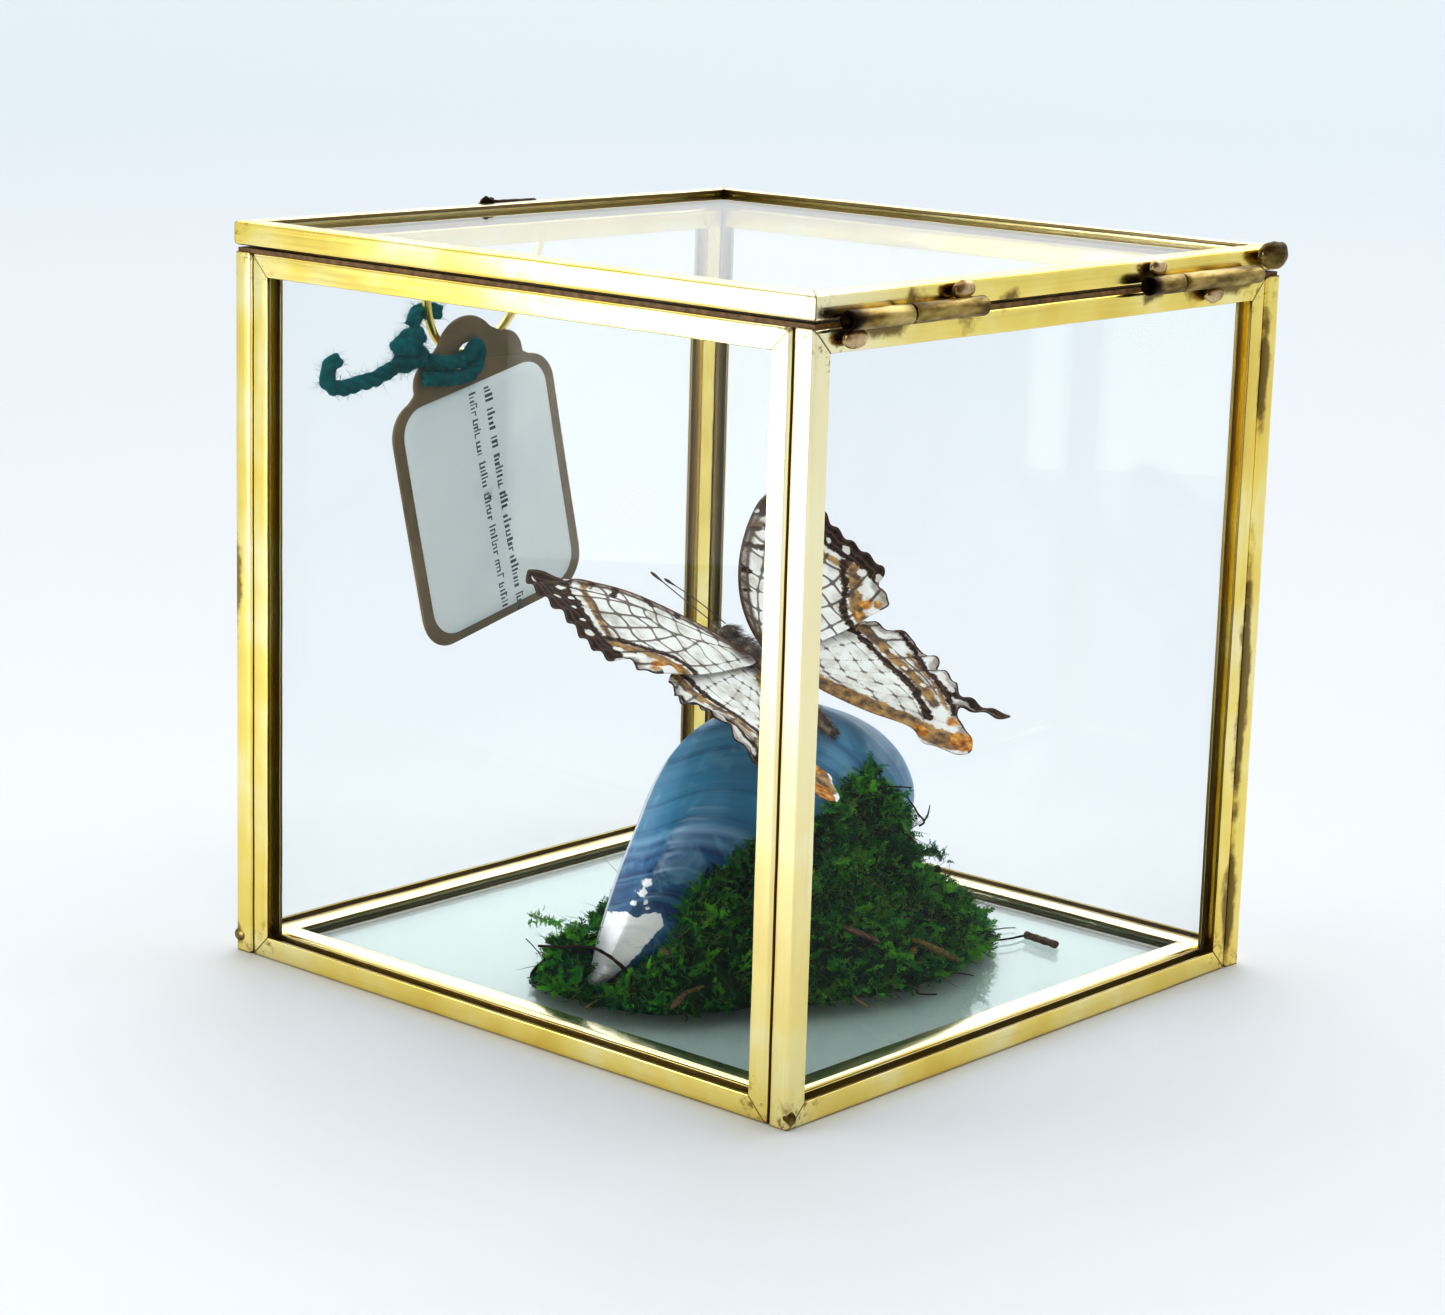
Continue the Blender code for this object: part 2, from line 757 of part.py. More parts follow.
def heap_height(x, y):
    """The moss's height above its flat underside."""
    blend = 5
    total = 0.0
    for middle_x, middle_y, half_x, half_y, height in MOSS_HEAPS:
        distance = sqrt(((x - middle_x) / half_x) ** 2 + ((y - middle_y) / half_y) ** 2)
        total += (height * max(0.0, 1 - (distance / 1.45) ** 2)) ** blend
    smooth = total ** (1 / blend)
    lumps = noise.noise(Vector((x, y, 0)) / MOSS_LUMP_SIZE) * MOSS_LUMP
    return max(MOSS_EDGE, smooth + lumps * min(1.0, smooth / 6))


def moss_reach(angle):
    """How far the moss spreads on the glass in one direction."""
    turned = angle - MOSS_TURN
    oval = 1 / sqrt((cos(turned) / MOSS_HALF_X) ** 2 + (sin(turned) / MOSS_HALF_Y) ** 2)
    wobble = noise.noise(Vector((cos(angle), sin(angle), 3.0)) * 2.2)
    return oval * (1 + 0.09 * wobble)


def make_moss(box):
    """The heap of moss, with room for the shell that stands in it."""
    centre_x, centre_y = MOSS_CENTRE
    rings = []
    for level in range(MOSS_RINGS + 1):
        share = 1 - level / (MOSS_RINGS + 1)
        ring = []
        for turn in range(MOSS_SECTORS):
            angle = 2 * pi * turn / MOSS_SECTORS
            reach = moss_reach(angle) * share
            x, y = centre_x + reach * cos(angle), centre_y + reach * sin(angle)
            ring.append(Vector((x, y, MOSS_BASE + heap_height(x, y))))
        rings.append(ring)
    foot = [Vector((point.x, point.y, MOSS_BASE)) for point in rings[0]]
    points, faces = join_rings([foot] + rings)
    moss = make_object("moss", points, faces, "moss", box)
    join_into(moss, make_shell_cutter(box), "DIFFERENCE")
    make_tube("moss_stick", STICK_ENDS, STICK_RADIUS, "bark", box, steps=1, sides=6)


# The butterfly


def fly_axes():
    """The insect's own directions: to its head, to its left and up from its back."""
    ahead = Vector((-cos(FLY_PITCH), 0, sin(FLY_PITCH)))
    level_left = Vector((0, -1, 0))
    level_up = ahead.cross(level_left)
    left = level_left * cos(FLY_ROLL) + level_up * sin(FLY_ROLL)
    return ahead, left, ahead.cross(left)


def make_wing(name, outline, box):
    """A flat wing on the plane that its dihedral and twist give."""
    ahead, left, up = fly_axes()
    dihedral, twist, root_rise = WING_POSES[name]
    side = left if name.startswith("left") else -left
    outwards = side * cos(dihedral) + up * sin(dihedral)
    normal = up * cos(dihedral) - side * sin(dihedral)
    forwards = ahead * cos(twist) + normal * sin(twist)
    face = outwards.cross(forwards).normalized()
    root = FLY_BASE + up * root_rise
    rings = []
    for rise in (-WING_THICK / 2, WING_THICK / 2):
        ring = [root + outwards * out + forwards * along + face * rise for out, along in outline]
        rings.append(ring)
    points, faces = join_rings(rings)
    make_object(name, points, faces, "wing", box, origin=root)


def fly_place(out, along, rise):
    """A point given from the wing roots in the insect's own directions."""
    ahead, left, up = fly_axes()
    return FLY_BASE + left * out + ahead * along + up * rise


def make_fly_body(box):
    """Head, thorax, abdomen and legs in one piece."""
    rings = []
    for along, radius in BODY_RINGS:
        ring = []
        for turn in range(BODY_SIDES):
            angle = 2 * pi * turn / BODY_SIDES
            rise = radius * BODY_HEIGHT_RATIO * sin(angle) - BODY_DROP
            ring.append(fly_place(radius * cos(angle), along, rise))
        rings.append(ring)
    points, faces = join_rings(rings)
    body = make_object("butterfly_body", points, faces, "insect_body", box, smooth=True)
    for pair, route in enumerate(LEG_ROUTES):
        for side_name, side in (("left", 1), ("right", -1)):
            name = f"{side_name}_leg_{pair + 1}"
            places = [fly_place(out * side, along, rise) for out, along, rise in route]
            join_into(body, make_tube(name, places, LEG_RADIUS, "insect_body", box, 1, 6))


def make_antenna(name, route, box):
    """A thin feeler that ends in a club."""
    curve = smooth_route(route, 4)
    radii = [ANTENNA_RADIUS] * (len(curve) - 2) + [ANTENNA_CLUB_RADIUS] * 2
    points, faces = join_rings(tube_rings(curve, radii, 6))
    make_object(name, points, faces, "insect_body", box)


def make_butterfly(box):
    """The mounted insect."""
    make_fly_body(box)
    for side in ("left", "right"):
        make_wing(f"{side}_forewing", FOREWING_OUTLINE, box)
        make_wing(f"{side}_hindwing", HINDWING_OUTLINE, box)
    for name, route in ANTENNA_ROUTES.items():
        make_antenna(name, route, box)


def main():
    clear_scene()
    box = make_empty("box_origin", (CENTRE_SHIFT, 0, 0))
    lid = make_empty("lid_axis", (HINGE_AXIS_X, 0, HINGE_AXIS_Z), box)
    make_box(box)
    make_lid(lid)
    make_hinges(box, lid)
    make_soldered_pieces(box, lid)
    make_tag(box)
    make_yarn(box)
    make_shell(box)
    make_moss(box)
    make_butterfly(box)


main()
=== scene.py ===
"""Looks for the butterfly box: brass came, glass, shell, moss, butterfly, tag and yarn.

Lengths are in millimetres, measured from the middle of the box's own footprint, with X towards
the hinges, Y towards the back pane and Z up. place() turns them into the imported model's metres.
"""

from math import cos, exp, pi, radians, sin, sqrt, tan

import bpy
import numpy as np
from mathutils import Matrix, Vector, noise


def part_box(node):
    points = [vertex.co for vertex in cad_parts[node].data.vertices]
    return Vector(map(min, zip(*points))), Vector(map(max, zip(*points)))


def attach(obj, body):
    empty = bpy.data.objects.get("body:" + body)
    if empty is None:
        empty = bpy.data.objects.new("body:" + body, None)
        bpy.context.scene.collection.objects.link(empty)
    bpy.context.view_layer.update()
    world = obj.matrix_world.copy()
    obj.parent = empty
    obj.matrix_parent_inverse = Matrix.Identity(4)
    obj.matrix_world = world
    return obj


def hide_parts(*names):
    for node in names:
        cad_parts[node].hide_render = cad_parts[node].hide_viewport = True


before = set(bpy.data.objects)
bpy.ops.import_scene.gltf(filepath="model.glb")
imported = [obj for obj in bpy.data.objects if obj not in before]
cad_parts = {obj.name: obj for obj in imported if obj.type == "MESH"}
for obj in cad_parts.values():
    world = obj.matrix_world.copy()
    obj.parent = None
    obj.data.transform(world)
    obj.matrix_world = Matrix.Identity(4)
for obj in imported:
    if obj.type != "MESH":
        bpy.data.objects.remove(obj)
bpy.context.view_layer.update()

MM = 0.001
LID_LOW, LID_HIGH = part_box("lid_front_bar")
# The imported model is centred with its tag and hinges, so the box itself stands a little aside
BOX_CENTRE = np.array([(LID_LOW.x + LID_HIGH.x) / 2, 0.0, 0.0])
RANDOM = np.random.default_rng(11)
# Without this, Blender's vector noise starts from another place in each run
noise.seed_set(11)

# The camera, fitted to the corners of the box in the photograph
IMAGE_WIDTH, IMAGE_HEIGHT = 1445, 1315
CAMERA_PLACE = (302.54, -350.30, 145.39)
CAMERA_AZIMUTH = radians(41.27)
CAMERA_DIP = radians(12.56)
CAMERA_ROLL = radians(1.64)
FOCAL_PIXELS = 3487.7
SENSOR_WIDTH = 36.0

# The daylight, and the lamps: place, aim, size and power, and their colour
SUN_STRENGTH = 1.42
SUN_WIDTH = radians(100)
SUN_COLOUR = (0.97, 0.985, 1.0)
SUN_TURN = (radians(-24), radians(-12), 0)
LAMPS = {
    "front": ((620, -560, 420), (40, -40, 40), 0.35, 1.1, (1.0, 0.98, 0.94)),
    "left_window": ((-160, -320, 78), (50, -48, 60), 0.16, 0.24, (1.0, 1.0, 1.0)),
}
WORLD_STRENGTH = 1.0
# From straight away from the camera to straight towards it
WORLD_STOPS = (
    (0.04, (0.72, 0.75, 0.77, 1)),
    (0.16, (0.70, 0.73, 0.75, 1)),
    (0.60, (0.55, 0.57, 0.60, 1)),
    (0.88, (0.06, 0.052, 0.045, 1)),
)
# Half the floor's width, and where its colour starts and stops turning, in metres
FLOOR_HALF = 9.0
FLOOR_TURNS = (0.1, 1.8)

# The box
BOX_WIDTH = 100.0
BOX_DEPTH = 96.6
BOX_HEIGHT = 100.0
BODY_HEIGHT = 96.0
CAME_THICK = 3.2
CAME_LEG = 3.0
CAME_WALL = 0.5
PANE_THICK = 1.6
JOIN_GAP = 0.3
BASE_TOP = (CAME_THICK + PANE_THICK) / 2
UPRIGHT_BAR_NAMES = ("bottom_bar", "right_post", "top_bar", "left_post")
FLAT_BAR_NAMES = ("front_bar", "hinge_side_bar", "back_bar", "tag_side_bar")

X_AXIS, Y_AXIS, Z_AXIS = np.eye(3)


# Making meshes


def place(points):
    """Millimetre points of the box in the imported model's metres."""
    return np.asarray(points, float) * MM + BOX_CENTRE


def make_piece(name, points, faces, material, body, replaced=(), smooth=True):
    """A mesh piece that rides on a body and may stand for CAD nodes."""
    mesh = bpy.data.meshes.new(name)
    faces = faces.tolist() if isinstance(faces, np.ndarray) else faces
    mesh.from_pydata(place(points).tolist(), [], faces)
    mesh.materials.append(material)
    if smooth:
        mesh.shade_smooth()
    mesh.update()
    piece = bpy.data.objects.new(name, mesh)
    bpy.context.scene.collection.objects.link(piece)
    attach(piece, body)
    if replaced:
        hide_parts(*replaced)
    return piece


def set_values(piece, name, values):
    """Store one number for each point of a piece, for its material to read."""
    layer = piece.data.attributes.new(name, "FLOAT", "POINT")
    layer.data.foreach_set("value", np.asarray(values, np.float32).ravel())


def join_meshes(parts):
    """One set of points and faces from several, and each point's part number."""
    points, faces, owners = [], [], []
    first = 0
    for owner, (part_points, part_faces) in enumerate(parts):
        points.append(np.asarray(part_points, float))
        faces += [tuple(int(corner) + first for corner in face) for face in part_faces]
        owners += [owner] * len(part_points)
        first += len(part_points)
    return np.vstack(points), faces, np.array(owners)


def ring_faces(rows, columns, caps=True):
    """Faces between rings of points that are stored one ring after another."""
    faces = []
    for row in range(rows - 1):
        for column in range(columns):
            after = (column + 1) % columns
            here = row * columns
            above = here + columns
            faces.append((here + column, here + after, above + after, above + column))
    if caps:
        faces.append(tuple(reversed(range(columns))))
        faces.append(tuple(range((rows - 1) * columns, rows * columns)))
    return faces


def looped_faces(rows, columns):
    """Faces between rings of points whose last ring joins the first again."""
    faces = ring_faces(rows, columns, caps=False)
    last = (rows - 1) * columns
    for column in range(columns):
        after = (column + 1) % columns
        faces.append((last + column, last + after, after, column))
    return faces


def soften(corners, reaches, steps):
    """A closed polygon with each corner turned into a short curve."""
    corners = np.asarray(corners, float)
    points = []
    for place_in_turn, corner in enumerate(corners):
        before = corners[place_in_turn - 1]
        after = corners[(place_in_turn + 1) % len(corners)]
        reach = reaches[place_in_turn]
        start = corner + (before - corner) / np.linalg.norm(before - corner) * reach
        end = corner + (after - corner) / np.linalg.norm(after - corner) * reach
        for step in range(steps + 1):
            share = step / steps
            curve = start * (1 - share) ** 2 + corner * 2 * share * (1 - share) + end * share**2
            points.append(curve)
    return np.array(points)


def smooth_route(route, steps, closed=False):
    """More points along a Catmull-Rom curve through a route's own points."""
    route = np.asarray(route, float)
    count = len(route)
    spans = count if closed else count - 1
    curve = []
    for span in range(spans):
        places = [span - 1, span, span + 1, span + 2]
        if closed:
            places = [corner % count for corner in places]
        else:
            places = [min(max(corner, 0), count - 1) for corner in places]
        before, start, end, after = route[places]
        for step in range(steps):
            share = step / steps
            rise = end - before
            bow = before * 2 - start * 5 + end * 4 - after
            twist = start * 3 - before - end * 3 + after
            curve.append((start * 2 + rise * share + bow * share**2 + twist * share**3) / 2)
    if not closed:
        curve.append(route[-1])
    return np.array(curve)


def tube(route, radii, sides, wobble=0.0):
    """Points and faces of a round solid along a route."""
    route = np.asarray(route, float)
    radii = np.broadcast_to(radii, len(route))
    rings = []
    side = None
    for number, centre in enumerate(route):
        ahead = route[min(number + 1, len(route) - 1)] - route[max(number - 1, 0)]
        ahead = ahead / np.linalg.norm(ahead)
        if side is None:
            side = np.cross(ahead, X_AXIS if abs(ahead[0]) < 0.8 else Y_AXIS)
        side = side - ahead * np.dot(side, ahead)
        side = side / np.linalg.norm(side)
        other = np.cross(ahead, side)
        angles = np.arange(sides) * 2 * pi / sides
        reach = np.full(sides, radii[number])
        if wobble:
            reach = reach * (1 + wobble * RANDOM.uniform(-1, 1, sides))
        ways = np.outer(np.cos(angles), side) + np.outer(np.sin(angles), other)
        rings.append(centre + reach[:, None] * ways)
    return np.vstack(rings), ring_faces(len(route), sides)


def rough_noise(point, size):
    """Three layers of noise between about -1 and 1 whose largest lumps are of the given size."""
    return noise.fractal(Vector(point) / size, 0.9, 2.0, 3)


def lump(centre, radii, size, height, rings=18, sides=28, seed=0.0):
    """An uneven blob, such as a drop of solder."""
    points = []
    for ring in range(rings + 1):
        fall = pi * ring / rings
        for side in range(sides):
            turn = 2 * pi * side / sides
            way = np.array([sin(fall) * cos(turn), sin(fall) * sin(turn), cos(fall)])
            place_on = way * radii
            bulge = 1 + height * rough_noise(place_on + seed, size)
            points.append(np.asarray(centre) + place_on * bulge)
    return np.array(points), ring_faces(rings + 1, sides, caps=False)


# Making materials


class Shader:
    """One material's nodes, with short calls for the kinds that this file uses."""

    def __init__(self, name):
        self.material = bpy.data.materials.new(name)
        self.material.use_nodes = True
        self.tree = self.material.node_tree
        self.surface = self.tree.nodes["Principled BSDF"]
        self.output = self.tree.nodes["Material Output"]

    def add(self, kind, **settings):
        node = self.tree.nodes.new(kind)
        for name, value in settings.items():
            setattr(node, name, value)
        return node

    def feed(self, socket, value):
        if isinstance(value, bpy.types.NodeSocket):
            self.tree.links.new(value, socket)
        elif socket.type == "RGBA" and len(value) == 3:
            socket.default_value = (*value, 1.0)
        else:
            socket.default_value = value

    def set(self, **values):
        """Set the surface's own sockets; a name's underscores stand for spaces."""
        for name, value in values.items():
            self.feed(self.surface.inputs[name.replace("_", " ")], value)

    def millimetres(self, stretch=(1.0, 1.0, 1.0)):
        """The point's place in millimetres, so that noise sizes are real sizes."""
        spot = self.add("ShaderNodeTexCoord").outputs["Object"]
        scaled = self.add("ShaderNodeMapping")
        self.feed(scaled.inputs["Vector"], spot)
        scaled.inputs["Scale"].default_value = [part / MM for part in stretch]
        return scaled.outputs["Vector"]

    def value(self, name):
        """A number that set_values stored on the mesh."""
        return self.add("ShaderNodeAttribute", attribute_name=name).outputs["Fac"]

    def noise(self, size, detail=4.0, vector=None, roughness=0.55, distortion=0.0):
        """Noise from 0 to 1 whose lumps are about size millimetres."""
        node = self.add("ShaderNodeTexNoise")
        self.feed(node.inputs["Vector"], vector or self.millimetres())
        self.feed(node.inputs["Scale"], 1 / size)
        self.feed(node.inputs["Detail"], detail)
        self.feed(node.inputs["Roughness"], roughness)
        self.feed(node.inputs["Distortion"], distortion)
        return node.outputs["Fac"]

    def join(self, *parts):
        """A vector from three numbers."""
        node = self.add("ShaderNodeCombineXYZ")
        for socket, part in zip(node.inputs, parts):
            self.feed(socket, part)
        return node.outputs["Vector"]

    def math(self, operation, *values):
        node = self.add("ShaderNodeMath", operation=operation)
        for socket, value in zip(node.inputs, values):
            self.feed(socket, value)
        return node.outputs["Value"]

    def range(self, value, low, high, out_low=0.0, out_high=1.0):
        """A smooth step: out_low up to low, out_high from high on."""
        node = self.add("ShaderNodeMapRange", interpolation_type="SMOOTHSTEP")
        for name, part in (
            ("Value", value),
            ("From Min", low),
            ("From Max", high),
            ("To Min", out_low),
            ("To Max", out_high),
        ):
            self.feed(node.inputs[name], part)
        return node.outputs["Result"]

    def ramp(self, value, *stops):
        node = self.add("ShaderNodeValToRGB")
        self.feed(node.inputs["Fac"], value)
        elements = node.color_ramp.elements
        while len(elements) < len(stops):
            elements.new(0.5)
        for element, (position, colour) in zip(elements, stops):
            element.position = position
            element.color = (*colour, 1.0)
        return node.outputs["Color"]

    def mix(self, factor, first, second):
        """The first colour, turned into the second by a factor from 0 to 1."""
        node = self.add("ShaderNodeMix", data_type="RGBA")
        self.feed(node.inputs["Factor"], factor)
        colours = [socket for socket in node.inputs if socket.type == "RGBA"]
        self.feed(colours[0], first)
        self.feed(colours[1], second)
        return next(socket for socket in node.outputs if socket.type == "RGBA")

    def bump(self, height, strength, depth):
        """Tilt the surface by a height from 0 to 1 that stands for depth millimetres."""
        node = self.add("ShaderNodeBump")
        self.feed(node.inputs["Height"], height)
        node.inputs["Strength"].default_value = strength
        node.inputs["Distance"].default_value = depth * MM
        self.feed(self.surface.inputs["Normal"], node.outputs["Normal"])

    def lay_over(self, share, kind, colour):
        """Mix a plainer kind of surface of one colour over the material's own, by a share."""
        other = self.add(kind)
        self.feed(other.inputs["Color"], colour)
        blend = self.add("ShaderNodeMixShader")
        self.feed(blend.inputs[0], share)
        self.feed(blend.inputs[1], self.surface.outputs["BSDF"])
        self.feed(blend.inputs[2], other.outputs["BSDF"])
        self.feed(self.output.inputs["Surface"], blend.outputs["Shader"])


def brass_material():
    """Pale rolled brass with long scratches, brown tarnishing at soldered ends, painted shade with
    tarnishing at the seams, painted shade in the channel and painted highlights.
    """
    shader = Shader("brass_came")
    along, around = shader.value("along"), shader.value("around")
    from_end = shader.value("from_end")
    drawn = shader.join(shader.math("MULTIPLY", along, 0.05), around, shader.value("seed"))
    streaks = shader.noise(1.0, 5, drawn)
    clouds = shader.noise(16.0, 3)
    gold = shader.ramp(
        clouds, (0.35, (0.88, 0.67, 0.16)), (0.5, (0.95, 0.77, 0.23)), (0.66, (0.98, 0.89, 0.48))
    )
    gold = shader.mix(shader.range(streaks, 0.52, 0.75, 0.0, 0.26), gold, (0.72, 0.54, 0.17))
    # Painted highlight: the pale mark turns the brass cream
    gold = shader.mix(shader.value("pale"), gold, (0.98, 0.91, 0.64))
    speckle = shader.noise(1.3, 5, roughness=0.65)
    near_end = shader.range(from_end, 0.4, 4.5, 1.0, 0.0)
    near_end = shader.math("MULTIPLY", near_end, 0.8)
    stain = shader.math("MULTIPLY", shader.range(speckle, 0.50, 0.66), near_end)
    mitre = shader.range(from_end, 0.10, 0.22, 0.8, 0.0)
    # Painted shade: the channel's inside and the came's inner edge along the glass are painted dark
    # brown
    edge = shader.range(shader.value("lip"), 0.3, 0.9, 0.0, 0.93)
    smudge = shader.noise(3.2, 4, roughness=0.6)
    smear = shader.math("ADD", shader.value("smear"), shader.math("SUBTRACT", smudge, 0.5))
    smear = shader.range(smear, 0.38, 0.75, 0.0, 0.85)
    tarnish_and_shade = stain
    for layer in (mitre, edge, smear):
        tarnish_and_shade = shader.math("MAXIMUM", tarnish_and_shade, layer)
    colour = shader.mix(tarnish_and_shade, gold, (0.17, 0.10, 0.018))
    # Painted shade with tarnishing: faces that lie against another frame, seen only in the gaps, turn
    # dark brown
    met = shader.range(shader.value("hidden"), 0.15, 0.7)
    colour = shader.mix(met, colour, (0.15, 0.075, 0.014))
    roughness = shader.range(streaks, 0.3, 0.7, 0.15, 0.25)
    dull = shader.math("MULTIPLY", shader.math("MAXIMUM", tarnish_and_shade, met), 0.3)
    roughness = shader.math("ADD", roughness, dull)
    metal = shader.math("SUBTRACT", 1.0, shader.math("MULTIPLY", met, 0.8))
    shader.set(Base_Color=colour, Metallic=metal, Roughness=roughness)
    shader.set(Coat_Weight=0.4, Coat_Roughness=0.08)
    shader.bump(streaks, 0.2, 0.02)
    return shader.material


def tarnished_material():
    """Hinge tube and old wire: tarnished brown and olive, painted near black as shade by the front
    open end of each hinge.
    """
    shader = Shader("tarnished_brass")
    blotches = shader.noise(1.0, 4, shader.millimetres((0.4, 0.13, 0.4)), roughness=0.55)
    colour = shader.ramp(
        blotches,
        (0.34, (0.070, 0.040, 0.012)),
        (0.46, (0.20, 0.135, 0.040)),
        (0.56, (0.38, 0.28, 0.095)),
        (0.70, (0.60, 0.47, 0.20)),
    )
    # Painted shade: near black by the front open end of each hinge tube, where the bore is dark
    open_end = shader.range(shader.value("from_end"), 2.4, 0.6)
    colour = shader.mix(open_end, colour, (0.022, 0.010, 0.004))
    roughness = shader.range(blotches, 0.35, 0.65, 0.45, 0.28)
    shader.set(Base_Color=colour, Metallic=0.9, Roughness=roughness)
    shader.bump(blotches, 0.3, 0.08)
    return shader.material


def solder_material():
    """Dull pink-gold solder with brown flux round its foot."""
    shader = Shader("old_solder")
    blotches = shader.noise(2.4, 4, roughness=0.5)
    foot = shader.math("ADD", shader.value("foot"), shader.math("MULTIPLY", blotches, 0.5))
    colour = shader.ramp(
        blotches, (0.38, (0.30, 0.19, 0.09)), (0.52, (0.52, 0.38, 0.20)), (0.7, (0.78, 0.62, 0.42))
    )
    colour = shader.mix(shader.range(foot, 0.62, 0.42), colour, (0.085, 0.040, 0.012))
    roughness = shader.range(blotches, 0.35, 0.65, 0.36, 0.22)
    shader.set(Base_Color=colour, Metallic=0.95, Roughness=roughness)
    shader.bump(blotches, 0.3, 0.12)
    return shader.material


def glass_material(name, colour, haze, bend):
    """Clear sheet glass that lets the lamps' light through to what it covers."""
    shader = Shader(name)
    smears = shader.noise(18.0, 4, roughness=0.6)
    roughness = shader.range(smears, 0.45, 0.75, 0.0, haze)
    shader.set(Base_Color=colour, Roughness=roughness, IOR=bend, Transmission_Weight=1.0)
    in_shadow = shader.add("ShaderNodeLightPath").outputs["Is Shadow Ray"]
    shader.lay_over(in_shadow, "ShaderNodeBsdfTransparent", colour)
    return shader.material


# The stage


def camera_axes():
    """The camera's right, up and backward directions."""
    back = np.array(
        (
            sin(CAMERA_AZIMUTH) * cos(CAMERA_DIP),
            -cos(CAMERA_AZIMUTH) * cos(CAMERA_DIP),
            sin(CAMERA_DIP),
        )
    )
    level_right = np.cross(Z_AXIS, back)
    level_right /= np.linalg.norm(level_right)
    level_up = np.cross(back, level_right)
    right = level_right * cos(CAMERA_ROLL) + level_up * sin(CAMERA_ROLL)
    up = level_up * cos(CAMERA_ROLL) - level_right * sin(CAMERA_ROLL)
    return right, up, back


def in_picture(points):
    """Where points stand in the photograph, in its pixels, and their distance from the camera."""
    right, up, back = camera_axes()
    offset = points - np.array(CAMERA_PLACE)
    depth = -offset @ back
    across = IMAGE_WIDTH / 2 + FOCAL_PIXELS * (offset @ right) / depth
    down = IMAGE_HEIGHT / 2 - FOCAL_PIXELS * (offset @ up) / depth
    return across, down, depth


def make_camera():
    """The photograph's own viewpoint."""
    data = bpy.data.cameras.new("camera")
    data.sensor_width = SENSOR_WIDTH
    data.lens = SENSOR_WIDTH * FOCAL_PIXELS / IMAGE_WIDTH
    data.clip_start = 0.01
    data.clip_end = 100.0
    camera = bpy.data.objects.new("camera", data)
    turn = Matrix([Vector(axis) for axis in camera_axes()]).transposed().to_4x4()
    camera.matrix_world = Matrix.Translation(Vector(place(CAMERA_PLACE))) @ turn
    bpy.context.scene.collection.objects.link(camera)
    bpy.context.scene.camera = camera


def make_floor():
    """A plain pale floor that turns a little bluer far away."""
    shader = Shader("floor")
    spot = shader.add("ShaderNodeTexCoord").outputs["Object"]
    length = shader.add("ShaderNodeVectorMath", operation="LENGTH")
    shader.feed(length.inputs[0], spot)
    far = shader.range(length.outputs["Value"], *FLOOR_TURNS)
    colour = shader.ramp(far, (0.0, (0.685, 0.70, 0.715)), (1.0, (0.605, 0.65, 0.675)))
    shader.set(Base_Color=colour, Roughness=0.65)
    mesh = bpy.data.meshes.new("floor")
    corners = [(x * FLOOR_HALF, y * FLOOR_HALF, 0) for x, y in ((-1, -1), (1, -1), (1, 1), (-1, 1))]
    mesh.from_pydata(corners, [], [(0, 1, 2, 3)])
    mesh.materials.append(shader.material)
    floor = bpy.data.objects.new("floor", mesh)
    bpy.context.scene.collection.objects.link(floor)


def make_world():
    """A pale studio: a bright window far behind the box and a dim room behind the camera."""
    world = bpy.data.worlds.new("studio")
    bpy.context.scene.world = world
    world.use_nodes = True
    tree = world.node_tree
    background = tree.nodes["Background"]
    spot = tree.nodes.new("ShaderNodeTexCoord")
    facing = tree.nodes.new("ShaderNodeVectorMath")
    facing.operation = "DOT_PRODUCT"
    tree.links.new(spot.outputs["Generated"], facing.inputs[0])
    facing.inputs[1].default_value = (sin(CAMERA_AZIMUTH), -cos(CAMERA_AZIMUTH), 0.25)
    share = tree.nodes.new("ShaderNodeMapRange")
    share.inputs["From Min"].default_value = -1.0
    tree.links.new(facing.outputs["Value"], share.inputs["Value"])
    shade = tree.nodes.new("ShaderNodeValToRGB")
    tree.links.new(share.outputs["Result"], shade.inputs["Fac"])
    stops = shade.color_ramp.elements
    stops[0].position, stops[0].color = WORLD_STOPS[0]
    stops[1].position, stops[1].color = WORLD_STOPS[-1]
    for position, colour in WORLD_STOPS[1:-1]:
        stops.new(position).color = colour
    tree.links.new(shade.outputs["Color"], background.inputs["Color"])
    background.inputs["Strength"].default_value = WORLD_STRENGTH


def make_lamp(name, spot, aim, size, power, colour):
    """A soft square lamp that faces a point."""
    data = bpy.data.lights.new(name, "AREA")
    data.size = size
    data.energy = power
    data.color = colour
    lamp = bpy.data.objects.new(name, data)
    start, end = Vector(place(spot)), Vector(place(aim))
    lamp.location = start
    lamp.rotation_euler = (end - start).to_track_quat("-Z", "Y").to_euler()
    bpy.context.scene.collection.objects.link(lamp)


def make_sun():
    """Even daylight from above, so wide that its shadows are soft."""
    data = bpy.data.lights.new("daylight", "SUN")
    data.energy = SUN_STRENGTH
    data.angle = SUN_WIDTH
    data.color = SUN_COLOUR
    sun = bpy.data.objects.new("daylight", data)
    sun.rotation_euler = SUN_TURN
    bpy.context.scene.collection.objects.link(sun)


def make_studio():
    make_camera()
    make_floor()
    make_world()
    make_sun()
    for name, settings in LAMPS.items():
        make_lamp(name, *settings)
    view = bpy.context.scene.view_settings
    view.view_transform = "Standard"
    view.look = "High Contrast"


# The came bars and the glass


BAR_VALUES = ("along", "around", "from_end", "lip", "hidden", "smear", "pale")
# Painted highlight: the brass is painted paler by the near upright edge, most at the top, and on the
# base frame
PAINTED_GLARE_EDGE = (50.0, -48.3)
PAINTED_GLARE_REACH = 14.0
PAINTED_GLARE_HEIGHT = 60.0
BASE_PAINTED_GLARE = 0.6
BAR_STATIONS = 40
SHARP_ANGLE = radians(50)
